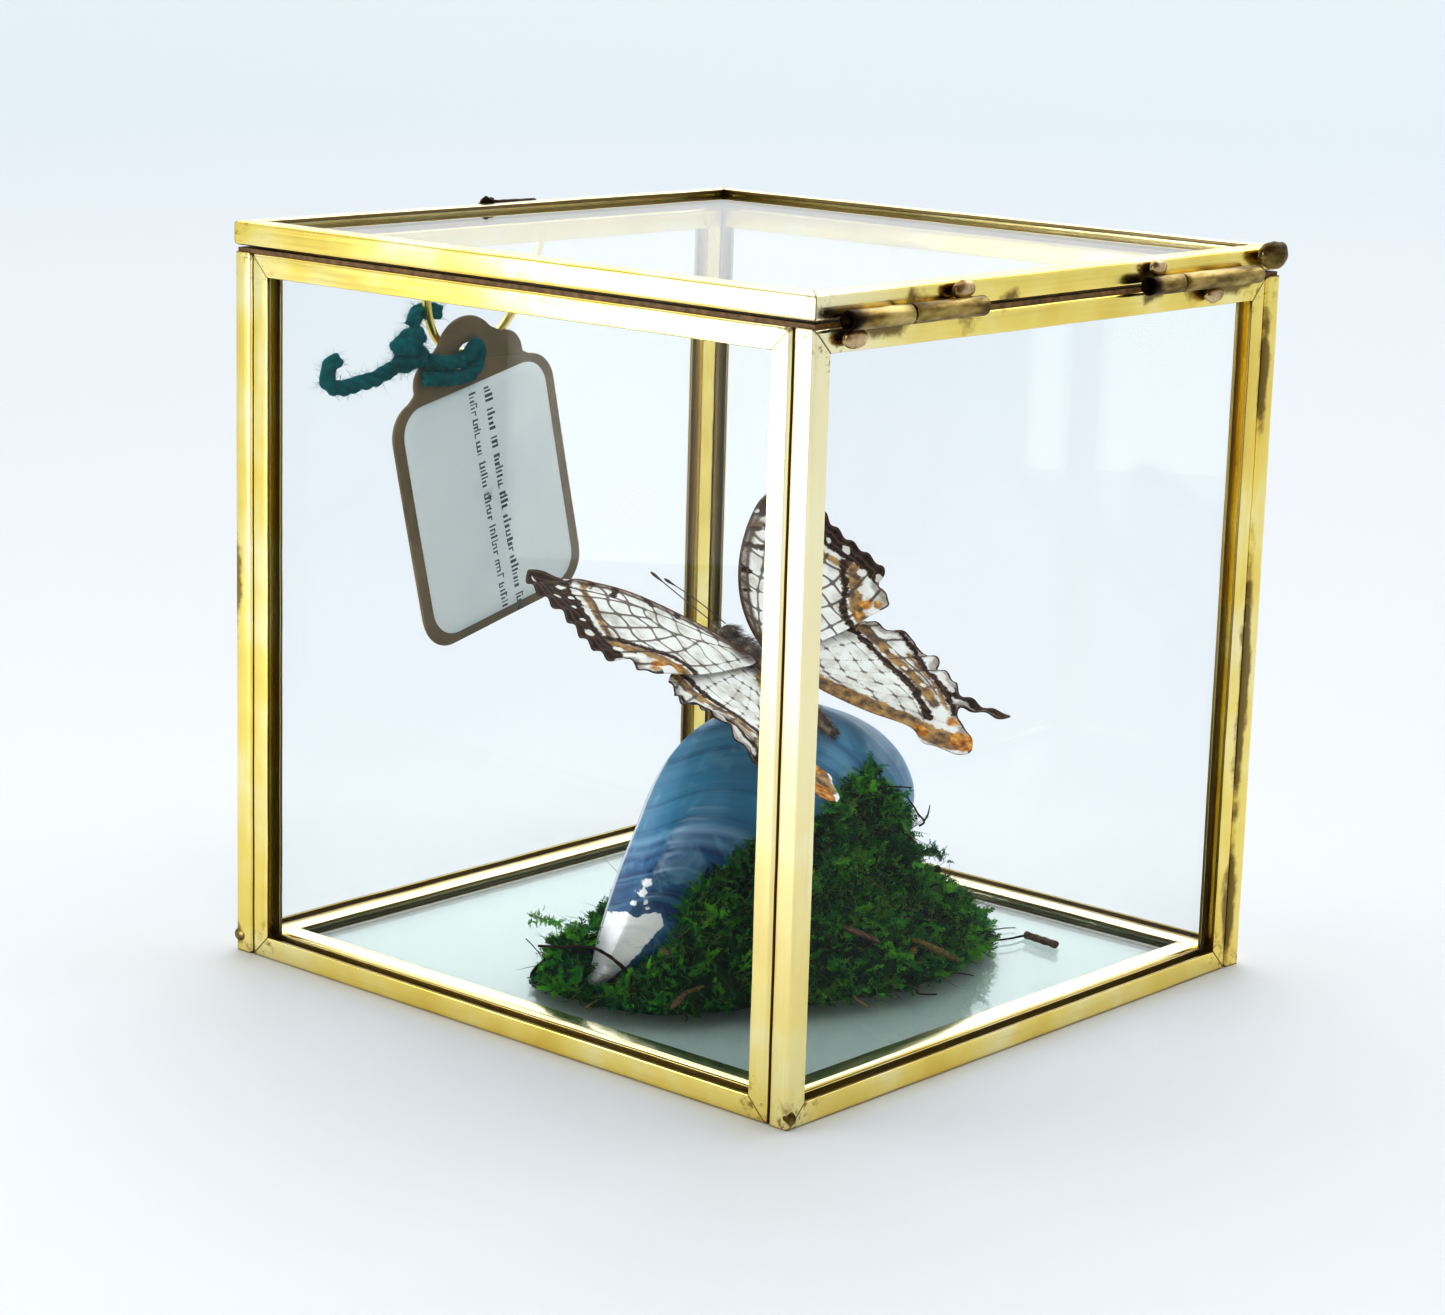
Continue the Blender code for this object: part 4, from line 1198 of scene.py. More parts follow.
def make_yarn():
    wool = wool_material()
    strands = (
        ("yarn_tail", [smooth_route(YARN_TAIL, 12)]),
        ("yarn_tag_loop", [smooth_route(YARN_TAG_LOOP, 10)]),
        ("yarn_bail_loop", [smooth_route(YARN_BAIL_LOOP, 10)]),
        ("yarn_knot", knot_routes()),
    )
    for node, routes in strands:
        meshes, centres = [], []
        for route in routes:
            plies = twist_plies(route, YARN_RADIUS)
            meshes += plies
            centres += [np.repeat(route, PLY_SIDES, axis=0) for _ in plies]
        surface = np.vstack([points for points, _ in meshes])
        fuzz = wool_fuzz(surface, np.vstack(centres) + 1e-4, FUZZ_COUNT * len(routes))
        points, faces, _ = join_meshes(meshes + [fuzz])
        make_piece(f"{node}_wool", points, faces, wool, "box", [node])


# Distances on a flat outline, for markings


def line_distance(points, line):
    """The distance of each flat point from a line of straight pieces."""
    best = np.full(len(points), np.inf)
    for start, end in zip(line[:-1], line[1:]):
        span = end - start
        share = np.clip((points - start) @ span / max(span @ span, 1e-9), 0, 1)
        gap = points - (start + share[:, None] * span)
        best = np.minimum(best, np.linalg.norm(gap, axis=1))
    return best


def inside_outline(points, outline):
    """True for each flat point inside a closed outline."""
    inside = np.zeros(len(points), bool)
    x, y = points[:, 0], points[:, 1]
    for (x1, y1), (x2, y2) in zip(outline, np.roll(outline, -1, axis=0)):
        crosses = (y1 > y) != (y2 > y)
        edge_x = (x2 - x1) * (y - y1) / (y2 - y1 + 1e-12) + x1
        inside ^= crosses & (x < edge_x)
    return inside


def signed_distance(points, outline):
    """Distance inside a closed outline, below zero outside it."""
    gap = line_distance(points, np.vstack([outline, outline[:1]]))
    return np.where(inside_outline(points, outline), gap, -gap)


# The mussel valve

SHELL_ORIGIN = np.array([0.0, -31.3, 2.8])
SHELL_ALONG = np.array([0.266, 0.842, 0.470])
SHELL_ACROSS = np.array([-0.400, -0.347, 0.848])
SHELL_HOLLOW = np.cross(SHELL_ALONG, SHELL_ACROSS)
SHOOT_ROOM = 2.8
SHELL_SCALE = 1.029
SHELL_CENTRE = np.array([3.2, 0.9])
SHELL_THICK = 1.2
SHELL_BEAK_RISE = 2.6
SHELL_SWELL = 0.30
SHELL_LENGTH = 53.6
SHELL_OUTLINE = (
    (0.9, -0.8),
    (1.9, 1.0),
    (6.4, 4.7),
    (12.0, 9.0),
    (18.0, 13.0),
    (24.0, 16.8),
    (30.0, 18.8),
    (37.0, 18.3),
    (44.0, 15.2),
    (49.4, 10.0),
    (52.6, 4.8),
    (53.6, -0.6),
    (52.0, -5.6),
    (46.5, -9.2),
    (39.0, -10.8),
    (30.0, -10.4),
    (20.0, -8.2),
    (11.0, -4.9),
    (4.4, -2.2),
)
SHELL_LEVELS = 130
# Stops in the valve's growth that stand out as ridges
STRONG_LINES = (11.0, 15.5, 19.8, 24.3, 28.0, 35.0, 42.5, 49.0)
ARC_BEND = 0.73
# Where the blue skin is worn off to chalky white, along and across the valve
WORN_PATCH = (
    (-0.4, 0.6),
    (2.8, 3.5),
    (5.0, 4.8),
    (7.6, 6.1),
    (8.8, 5.6),
    (9.2, 4.4),
    (10.6, 4.3),
    (12.1, 3.2),
    (11.6, 1.7),
    (10.0, 1.2),
    (7.5, 0.3),
    (5.2, -0.5),
    (3.2, -1.2),
    (0.6, -1.4),
)
WORN_SPOTS = (
    (12.7, 7.5, 0.55),
    (11.5, 6.7, 0.6),
    (11.1, 5.5, 0.4),
    (10.0, 6.1, 0.35),
    (11.0, 4.6, 0.3),
)


def growth_stage(flat):
    """How old each place on the valve is, as its distance in millimetres along the middle line."""
    along, across = flat[..., 0], flat[..., 1]
    bearing = np.arctan2(across, np.maximum(along, 0.1))
    return np.hypot(along, across) / np.maximum(1 - ARC_BEND * bearing**2, 0.35)


def shell_rise(growth, reach):
    """How far the valve swells from the plane of its rim, at one stage of its growth."""
    beak = SHELL_BEAK_RISE * (1 - growth**2)
    return beak + SHELL_SWELL * reach * growth**0.8 * np.clip(1 - growth**2.6, 0, 1) ** 0.78


def shell_side(rise, spread):
    """A grid of points on one side of the valve, with its growth and flat place."""
    rim = smooth_route(SHELL_OUTLINE, 12, closed=True)
    spokes = rim - SHELL_CENTRE
    reach = np.linalg.norm(spokes, axis=1)
    growth = (np.arange(1, SHELL_LEVELS + 1) / SHELL_LEVELS) ** 0.85
    flat = SHELL_CENTRE + spokes[None] * (growth[:, None] * (1 + spread / reach))[..., None]
    height = shell_rise(growth[:, None], reach[None]) + rise
    offset = (
        flat[..., :1] * SHELL_ALONG + flat[..., 1:] * SHELL_ACROSS + height[..., None] * SHELL_HOLLOW
    )
    return SHELL_ORIGIN + offset * SHELL_SCALE, growth, flat


def growth_ridges(points, stage):
    """How far each point of the outside stands proud of the smooth valve."""
    ridges = np.zeros(stage.shape)
    for row, column in np.ndindex(stage.shape):
        spot = Vector(points[row, column])
        age = stage[row, column] + 0.7 * noise.noise(spot / 9.0)
        fine = 0.05 * noise.noise((age * 0.9, 0.0, 2.0)) + 0.02 * noise.noise((age * 2.4, 0.0, 5.0))
        step = sum(exp(-(((age - line) / 0.45) ** 2)) for line in STRONG_LINES)
        ridges[row, column] = fine + 0.13 * step * (0.6 + 0.6 * noise.noise(spot / 7.0))
    return ridges


def shell_material():
    """Blue mussel: fine growth lines, steel blue paling to the rim, chalk where it is worn."""
    shader = Shader("mussel_blue")
    worn, inside = shader.value("worn"), shader.value("inside")
    drift = shader.math("SUBTRACT", shader.noise(8.0, 2), 0.5)
    age = shader.math("ADD", shader.value("stage"), shader.math("MULTIPLY", drift, 1.6))
    broad = shader.join(shader.math("MULTIPLY", age, 0.42), 0.0, 1.0)
    narrow = shader.join(shader.math("MULTIPLY", age, 1.7), 0.0, 4.0)
    bands = shader.noise(1.0, 4, broad, roughness=0.55)
    lines = shader.noise(1.0, 3, narrow, roughness=0.6)
    smoke = shader.noise(5.0, 5, roughness=0.6, distortion=0.8)
    colour = shader.ramp(
        shader.math("DIVIDE", age, SHELL_LENGTH),
        (0.0, (0.009, 0.070, 0.185)),
        (0.20, (0.006, 0.066, 0.190)),
        (0.30, (0.003, 0.043, 0.135)),
        (0.335, (0.012, 0.115, 0.275)),
        (0.362, (0.005, 0.058, 0.175)),
        (0.395, (0.004, 0.050, 0.155)),
        (0.42, (0.014, 0.140, 0.320)),
        (0.445, (0.005, 0.062, 0.185)),
        (0.47, (0.095, 0.240, 0.400)),
        (0.488, (0.025, 0.140, 0.270)),
        (0.507, (0.170, 0.330, 0.500)),
        (0.535, (0.030, 0.175, 0.315)),
        (0.60, (0.046, 0.222, 0.370)),
        (0.80, (0.052, 0.222, 0.355)),
        (1.0, (0.035, 0.165, 0.330)),
    )
    colour = shader.mix(shader.range(bands, 0.53, 0.66, 0, 0.45), colour, (0.11, 0.31, 0.44))
    colour = shader.mix(shader.range(bands, 0.48, 0.34, 0, 0.6), colour, (0.006, 0.045, 0.115))
    colour = shader.mix(shader.range(lines, 0.56, 0.70, 0, 0.4), colour, (0.24, 0.38, 0.50))
    colour = shader.mix(shader.range(smoke, 0.52, 0.70, 0, 0.6), colour, (0.16, 0.36, 0.49))
    ragged = shader.math("SUBTRACT", shader.noise(0.9, 5, roughness=0.7), 0.5)
    limit = shader.math("ADD", worn, shader.math("MULTIPLY", ragged, 1.2))
    chalk = shader.range(limit, -0.04, 0.07)
    half_worn = shader.range(limit, -0.9, -0.2, 0, 0.28)
    colour = shader.mix(half_worn, colour, (0.10, 0.25, 0.40))
    chalky = shader.ramp(shader.noise(1.6, 4), (0.30, (0.86, 0.87, 0.92)), (0.5, (0.98, 0.98, 0.99)))
    colour = shader.mix(chalk, colour, chalky)
    nacre = shader.ramp(
        shader.noise(8.0, 3),
        (0.35, (0.42, 0.50, 0.60)),
        (0.5, (0.66, 0.70, 0.76)),
        (0.65, (0.74, 0.70, 0.76)),
    )
    colour = shader.mix(inside, colour, nacre)
    roughness = shader.math("ADD", 0.28, shader.math("MULTIPLY", chalk, 0.45))
    shader.set(Base_Color=colour, Roughness=roughness, Coat_Weight=0.25, Coat_Roughness=0.25)
    pits = shader.math("MULTIPLY", chalk, shader.math("MULTIPLY", ragged, -0.6))
    relief = shader.math("ADD", lines, pits)
    shader.bump(relief, 0.5, 0.08)
    return shader.material


def make_shell():
    """The valve with its growth ridges outside and its smooth nacre inside."""
    outer, _, flat = shell_side(0.0, 0.0)
    along_rim = np.roll(outer, -1, axis=1) - np.roll(outer, 1, axis=1)
    outwards = np.cross(np.gradient(outer, axis=0), along_rim)
    outwards /= np.linalg.norm(outwards, axis=2)[..., None] + 1e-9
    outwards *= np.sign(np.sum(outwards * SHELL_HOLLOW, axis=2))[..., None]
    stage = growth_stage(flat)
    outer = outer + outwards * growth_ridges(outer, stage)[..., None]
    inner, _, _ = shell_side(-SHELL_THICK, -SHELL_THICK * 0.6)
    levels, columns = outer.shape[:2]
    lip = (outer[-1] + inner[-1]) / 2
    rings = np.concatenate([outer, lip[None], inner[::-1]])
    points = rings.reshape(-1, 3)
    faces = ring_faces(len(rings), columns)
    material = shell_material()
    shell = make_piece("mussel_valve", points, faces, material, "box", ["mussel_shell"])
    set_values(shell, "stage", np.concatenate([stage, stage[-1:], stage[::-1]]))
    worn = signed_distance(flat.reshape(-1, 2), np.array(WORN_PATCH))
    for along, across, radius in WORN_SPOTS:
        gap = np.linalg.norm(flat.reshape(-1, 2) - (along, across), axis=1)
        worn = np.maximum(worn, radius - gap)
    hidden = np.full((levels + 1) * columns, -9.0)
    set_values(shell, "worn", np.concatenate([worn, hidden]))
    outside, inside = np.zeros(levels * columns), np.ones((levels + 1) * columns)
    set_values(shell, "inside", np.concatenate([outside, inside]))


def in_shell(points, margin):
    """True for each point in the domed valve's wall, or too near its hollow side for a shoot."""
    local = (points - SHELL_ORIGIN) / SHELL_SCALE
    flat = np.column_stack([local @ SHELL_ALONG, local @ SHELL_ACROSS])
    height = local @ SHELL_HOLLOW
    rim = smooth_route(SHELL_OUTLINE, 4, closed=True)
    depth = signed_distance(flat, rim)
    spokes = flat - SHELL_CENTRE
    # The stage of growth is about where a point stands between the middle and the rim
    lengths = np.linalg.norm(spokes, axis=1)
    growth = lengths / (lengths + np.maximum(depth, 0.01))
    top = shell_rise(growth, lengths / np.maximum(growth, 0.05))
    return (depth > -margin) & (height > top - SHELL_THICK - SHOOT_ROOM) & (height < top + margin)


# The moss and what lies in it

MOSS_BASE = BASE_TOP + JOIN_GAP
MOSS_CENTRE = np.array([7.0, -3.0])
MOSS_HALF_X = 21.5
MOSS_HALF_Y = 34.0
MOSS_TURN = radians(-14.0)
MOSS_EDGE = 1.6
MOSS_LUMP = 1.5
MOSS_LUMP_SIZE = 5.5
# Each heap: its middle, its half-widths and its height above the glass
MOSS_HEAPS = (
    (17.5, 5.0, 8.5, 9.5, 27.0),
    (15.5, -5.0, 10.0, 13.0, 22.5),
    (12.0, -16.5, 10.0, 12.0, 17.0),
    (6.0, -26.0, 11.0, 9.0, 9.5),
    (20.0, 16.0, 10.0, 13.0, 8.0),
    (20.0, -7.0, 10.0, 17.0, 10.0),
    (0.0, 2.0, 12.0, 25.0, 9.0),
    (-6.0, -26.0, 9.0, 9.0, 5.5),
)
# The top of the moss as the photograph shows it, in its pixels; it dips where the valve's beak is bare
MOSS_SKYLINE = (
    (538, 972),
    (542, 956),
    (552, 942),
    (570, 933),
    (586, 924),
    (594, 920),
    (597, 990),
    (608, 993),
    (630, 977),
    (644, 967),
    (656, 957),
    (668, 946),
    (676, 930),
    (680, 910),
    (694, 887),
    (710, 874),
    (726, 864),
    (748, 842),
    (790, 824),
    (816, 812),
    (836, 784),
    (856, 771),
    (868, 759),
    (876, 757),
    (886, 780),
    (900, 796),
    (909, 818),
    (913, 842),
    (914, 870),
    (930, 876),
    (960, 891),
    (980, 911),
    (990, 928),
    (994, 944),
)
SPRIG_PIECES = 4
SPRIGS_A_PIECE = 4000
SPRIG_LENGTH = 2.05
SKYLINE_MARGIN = 9
SKYLINE_SIDE = 8
SKYLINE_RAGGED = 9
# The columns of the photograph where the valve hides what is behind it
VALVE_ACROSS = (600, 890)
MOSS_LEAST = 0.5
HEAP_DROP = 0.9
# The heap's rings, as shares of the way from its middle to its edge, closer at the edge
HEAP_SHARES = np.concatenate([np.linspace(0.02, 0.93, 52), np.linspace(0.94, 1.0, 5)])
HEAP_SIDES = 150
STRAND_COUNT = 2700
STRAND_RADIUS = 0.075
RIM_COUNT = 1500
SLOPE_STEP = 0.8
LOWEST_SHOOT = BASE_TOP + 0.05
# Deep, fresh and dry moss, each from its gaps, darkened as painted shade, to its tufts
MOSS_HUES = (
    ((0.001, 0.017, 0.012), (0.003, 0.102, 0.032), (0.014, 0.260, 0.052)),
    ((0.003, 0.027, 0.006), (0.018, 0.185, 0.016), (0.110, 0.460, 0.028)),
    ((0.008, 0.020, 0.006), (0.046, 0.130, 0.022), (0.150, 0.270, 0.045)),
)


def heap_height(x, y):
    """The moss's height above its flat underside."""
    blend = 5
    total = 0.0
    for middle_x, middle_y, half_x, half_y, height in MOSS_HEAPS:
        distance = sqrt(((x - middle_x) / half_x) ** 2 + ((y - middle_y) / half_y) ** 2)
        total += (height * max(0.0, 1 - (distance / 1.45) ** 2)) ** blend
    smooth = total ** (1 / blend)
    lumps = noise.noise(Vector((x, y, 0)) / MOSS_LUMP_SIZE) * MOSS_LUMP
    return max(MOSS_EDGE, smooth + lumps * min(1.0, smooth / 6))


def heap_slopes(x, y):
    """How steeply the moss rises along X and along Y."""
    rises = (
        heap_height(x + SLOPE_STEP, y) - heap_height(x - SLOPE_STEP, y),
        heap_height(x, y + SLOPE_STEP) - heap_height(x, y - SLOPE_STEP),
    )
    return [rise / 2 / SLOPE_STEP for rise in rises]


def moss_reach(angle):
    """How far the moss spreads on the glass in one direction."""
    turned = angle - MOSS_TURN
    oval = 1 / sqrt((cos(turned) / MOSS_HALF_X) ** 2 + (sin(turned) / MOSS_HALF_Y) ** 2)
    wobble = noise.noise(Vector((cos(angle), sin(angle), 3.0)) * 2.2)
    return oval * (1 + 0.09 * wobble)


def moss_point(angle, share):
    """A point on top of the heap, a share of the way from its middle to its edge."""
    reach = moss_reach(angle) * share
    x, y = MOSS_CENTRE[0] + reach * cos(angle), MOSS_CENTRE[1] + reach * sin(angle)
    fall = 1 - max(0.0, (share - 0.93) / 0.07) ** 2 * 0.75
    return np.array([x, y, MOSS_BASE + heap_height(x, y) * fall])


def under_skyline(points):
    """Moss points lowered to where the photograph has them, and which of them stay."""
    across, down, depth = in_picture(points)
    edge_across, edge_down = np.array(MOSS_SKYLINE, float).T
    ragged = np.array([noise.noise(Vector(spot) / 1.6) for spot in points]) * SKYLINE_RAGGED
    shifts = (-SKYLINE_SIDE, 0, SKYLINE_SIDE)
    near = [np.interp(across + shift, edge_across, edge_down) for shift in shifts]
    limit = np.max(near, axis=0) + SKYLINE_MARGIN + ragged
    behind = (points - SHELL_ORIGIN) @ SHELL_HOLLOW < 0
    behind &= (across > VALVE_ACROSS[0]) & (across < VALVE_ACROSS[1])
    over = np.where(behind, 0.0, np.maximum(0.0, limit - down))
    lowered = points.copy()
    lowered[:, 2] -= over * depth / FOCAL_PIXELS / cos(CAMERA_DIP)
    beside = (across < edge_across[0] + SKYLINE_SIDE) | (across > edge_across[-1] - SKYLINE_SIDE)
    return lowered, (lowered[:, 2] > MOSS_BASE + MOSS_LEAST) & ~beside


def moss_material():
    """Dry feather moss: yellow-green tips over deep green, a little brown."""
    shader = Shader("feather_moss")
    shade = shader.value("shade")
    tip = shader.value("tip")
    patches = shader.noise(7.0, 3)
    hue = shader.noise(3.4, 4, roughness=0.6)
    deep, fresh, dry = (
        shader.ramp(shade, (0.0, dark), (0.5, middle), (1.0, pale)) for dark, middle, pale in MOSS_HUES
    )
    colour = shader.mix(shader.range(hue, 0.42, 0.52), deep, fresh)
    colour = shader.mix(shader.range(hue, 0.57, 0.64), colour, dry)
    colour = shader.mix(shader.range(patches, 0.45, 0.62, 0, 0.5), colour, deep)
    bright = shader.math("MULTIPLY", tip, shader.range(shade, 0.5, 1.0, 0.0, 0.5))
    colour = shader.mix(bright, colour, (0.20, 0.42, 0.03))
    shader.set(Base_Color=colour, Roughness=0.8, Specular_IOR_Level=0.15)
    return shader.material


def strand_material():
    """Bare dry stems in the moss: olive, tan and dark green."""
    shader = Shader("moss_stem")
    mottle = shader.noise(1.6, 3, roughness=0.6)
    colour = shader.ramp(
        mottle,
        (0.34, (0.010, 0.040, 0.012)),
        (0.48, (0.045, 0.110, 0.024)),
        (0.58, (0.17, 0.23, 0.05)),
        (0.72, (0.15, 0.085, 0.038)),
    )
    shader.set(Base_Color=colour, Roughness=0.8, Specular_IOR_Level=0.15)
    return shader.material


def sprig_template(seed):
    """One small shoot of unit length with leaves on both sides, and how near its tip each point is."""
    own = np.random.default_rng(seed)
    stations = np.linspace(0, 1, 3)
    droop = own.uniform(0.1, 0.45)
    sway = own.uniform(-0.15, 0.15)
    hang = droop * stations * (1 - stations) * 2
    stem = np.column_stack([sway * np.sin(stations * 3), stations, hang])
    stem_points, stem_faces = tube(stem, np.linspace(0.028, 0.012, 3), 3)
    meshes = [(stem_points, [face for face in stem_faces if len(face) == 4])]
    tips = [np.repeat(stations, 3)]
    for number in range(8):
        share = (number + 0.8) / 8.3
        root = np.array([sway * sin(share * 3), share, droop * share * (1 - share) * 2])
        for side in (-1, 1):
            reach = own.uniform(0.21, 0.35) * (1.15 - 0.6 * share)
            out, on, above = own.uniform(0.6, 1.0), own.uniform(0.45, 0.9), own.uniform(-0.2, 0.6)
            way = np.array([side * out, on, above])
            way = way / np.linalg.norm(way) * reach
            wide = np.cross(way, Z_AXIS)
            wide = wide / np.linalg.norm(wide) * reach * 0.24
            fold = Z_AXIS * reach * 0.12
            middle = root + way * 0.45
            leaf = np.array([root, middle + wide + fold, root + way, middle - wide + fold])
            meshes.append((leaf, [(0, 1, 2), (0, 2, 3)]))
            tips.append(np.full(4, share))
    points, faces, _ = join_meshes(meshes)
    triangles = [face for face in faces if len(face) == 3]
    for face in faces:
        if len(face) == 4:
            triangles += [face[:3], (face[0], face[2], face[3])]
    return points, np.array(triangles), np.concatenate(tips)


def moss_relief(spot):
    """Whether a place in the moss is a tuft or a gap, from about -1 to 1; gaps sink and are painted
    darker as shade.
    """
    return noise.noise(Vector(spot) / 1.15) + 0.5 * noise.noise(Vector(spot) / 3.2)


def scatter_sprigs(name, spots, normals, length, material, seed, shade=None):
    """Copies of the shoots at many places, each leaning its own way."""
    own = np.random.default_rng(seed)
    templates = [sprig_template(seed * 10 + number) for number in range(4)]
    picks = own.integers(0, len(templates), len(spots))
    reliefs = np.array([moss_relief(spot) for spot in spots])
    spots = spots + normals * reliefs[:, None] * 0.9
    all_points, all_faces, all_shades, all_tips = [], [], [], []
    first = 0
    for number, (shape, triangles, tips) in enumerate(templates):
        chosen = np.flatnonzero(picks == number)
        lean = own.normal(0, 1.3, (len(chosen), 3))
        growing = unit_rows(normals[chosen] * 0.9 + lean + (0, 0, 0.15))
        across = unit_rows(np.cross(growing, own.normal(0, 1, (len(chosen), 3))))
        above = np.cross(across, growing)
        sizes = (length * own.uniform(0.4, 1.35, len(chosen)))[:, None, None]
        turned = (
            shape[None, :, :1] * across[:, None]
            + shape[None, :, 1:2] * growing[:, None]
            + shape[None, :, 2:] * above[:, None]
        )
        all_points.append((spots[chosen][:, None] + turned * sizes).reshape(-1, 3))
        offsets = first + np.arange(len(chosen)) * len(shape)
        all_faces.append((offsets[:, None, None] + triangles).reshape(-1, 3))
        # Painted shade: shoots sunk in the gaps get a darker shade, on top of their own random tone
        shades = reliefs[chosen] * 0.95 + own.normal(0.42, 0.21, len(chosen))
        if shade is not None:
            shades = own.normal(shade, 0.1, len(chosen))
        all_shades.append(np.repeat(np.clip(shades, 0, 1), len(shape)))
        all_tips.append(np.tile(tips, len(chosen)))
        first += len(chosen) * len(shape)
    points = np.vstack(all_points)
    points[:, 2] = np.maximum(points[:, 2], LOWEST_SHOOT)
    piece = make_piece(name, points, np.vstack(all_faces), material, "box", smooth=False)
    set_values(piece, "shade", np.concatenate(all_shades))
    set_values(piece, "tip", np.concatenate(all_tips))


def moss_rim():
    """Places low round the heap's edge, and the ways that shoots grow out of it."""
    angles = RANDOM.uniform(0, 2 * pi, RIM_COUNT)
    spots = np.array([moss_point(angle, RANDOM.uniform(0.96, 1.01)) for angle in angles])
    spots[:, 2] = MOSS_BASE + RANDOM.uniform(0.1, 1.7, RIM_COUNT)
    lowered, _ = under_skyline(spots)
    kept = (spots[:, 2] - lowered[:, 2] < 0.2) & ~in_shell(spots, 0.3)
    normals = unit_rows(np.column_stack([np.cos(angles), np.sin(angles), np.full(RIM_COUNT, 0.35)]))
    return spots[kept], normals[kept]


def make_moss():
    """The heap, and the shoots all over it; gives their material."""
    material = moss_material()
    angles = np.linspace(0, 2 * pi, HEAP_SIDES, endpoint=False)
    rings = []
    for share in HEAP_SHARES:
        ring = []
        for angle in angles:
            spot = moss_point(angle, share)
            spot[2] += 0.35 * noise.noise(Vector(spot) / 1.3) + 0.7 * noise.noise(Vector(spot) / 3.0)
            ring.append(spot)
        rings.append(ring)
    rings.append([(x, y, MOSS_BASE) for x, y, _ in rings[-1]])
    points = np.array(rings).reshape(-1, 3)
    lowered, _ = under_skyline(points - Z_AXIS * HEAP_DROP)
    points = np.column_stack([lowered[:, :2], np.maximum(lowered[:, 2], MOSS_BASE)])
    faces = ring_faces(len(rings), len(angles))
    heap = make_piece("moss_heap", points, faces, material, "box", ["moss"])
    # Painted shade: the heap under the shoots is painted near black-green, standing in for the shade
    # between them
    set_values(heap, "shade", np.full(len(points), 0.08))
    set_values(heap, "tip", np.zeros(len(points)))

    count = SPRIG_PIECES * SPRIGS_A_PIECE
    spots, normals = [], []
    while len(spots) < count:
        angle, share = RANDOM.uniform(0, 2 * pi), sqrt(RANDOM.uniform(0, 1))
        spot = moss_point(angle, share)
        slope_x, slope_y = heap_slopes(spot[0], spot[1])
        normal = np.array([-slope_x, -slope_y, 1.0])
        if share > 0.93:
            normal = np.array([cos(angle), sin(angle), 0.5])
        # Steep sides have more surface over each patch of floor
        if RANDOM.uniform(0, 2.6) > sqrt(slope_x**2 + slope_y**2 + 1):
            continue
        spots.append(spot)
        normals.append(normal / np.linalg.norm(normal))
    spots = np.array(spots)
    spots[:, 2] += [0.8 * noise.noise(Vector(spot) / 2.6) for spot in spots]
    spots, kept = under_skyline(spots)
    kept &= ~in_shell(spots, 0.3)
    spots, normals = spots[kept], np.array(normals)[kept]
    rim_spots, rim_normals = moss_rim()
    spots, normals = np.vstack([spots, rim_spots]), np.vstack([normals, rim_normals])
    picks = RANDOM.integers(0, len(spots), STRAND_COUNT)
    ways = unit_rows(normals[picks] * 0.4 + RANDOM.normal(0, 1, (STRAND_COUNT, 3)))
    bends = -0.5 * Z_AXIS + RANDOM.normal(0, 0.7, (STRAND_COUNT, 3))
    lengths = RANDOM.uniform(1.0, 3.2, STRAND_COUNT)
    starts = spots[picks] + normals[picks] * RANDOM.uniform(0.2, 1.1, (STRAND_COUNT, 1))
    strands, strand_faces = fibre_mesh(starts, ways, lengths, bends, STRAND_RADIUS)
    strands[:, 2] = np.maximum(strands[:, 2], LOWEST_SHOOT)
    stems = strand_material()
    make_piece("moss_strands", strands, strand_faces, stems, "box", smooth=False)
    for number in range(SPRIG_PIECES):
        own = slice(number, None, SPRIG_PIECES)
        name = f"moss_shoots_{number + 1}"
        scatter_sprigs(name, spots[own], normals[own], SPRIG_LENGTH, material, number + 1)
    return material


def litter_material(name, dark, middle, pale):
    """Bark, wood or a dry leaf with dark cracks along the grain."""
    shader = Shader(name)
    grain = shader.noise(0.5, 6, roughness=0.7)
    shader.set(Base_Color=shader.ramp(grain, (0.32, dark), (0.5, middle), (0.68, pale)))
    shader.set(Roughness=0.85, Specular_IOR_Level=0.2)
    shader.bump(grain, 0.8, 0.12)
    return shader.material


# Each kind of litter: its material's name, and its dark, middle and pale colours
LITTER_COLOURS = {
    "bark": ("dark_bark", (0.006, 0.004, 0.003), (0.024, 0.013, 0.009), (0.070, 0.038, 0.024)),
    "bark_flake": ("brown_bark", (0.045, 0.028, 0.018), (0.13, 0.082, 0.052), (0.24, 0.165, 0.11)),
    "wood": ("pale_wood", (0.070, 0.045, 0.012), (0.19, 0.125, 0.035), (0.30, 0.22, 0.08)),
}
# Depths from the camera for litter that stands clear of the moss
BEAK_DEPTH = 454.5
SHOULDER_DEPTH = 463.0
# The depths that are tried for litter on the moss or the glass
LITTER_DEPTHS = np.arange(400.0, 620.0, 0.4)
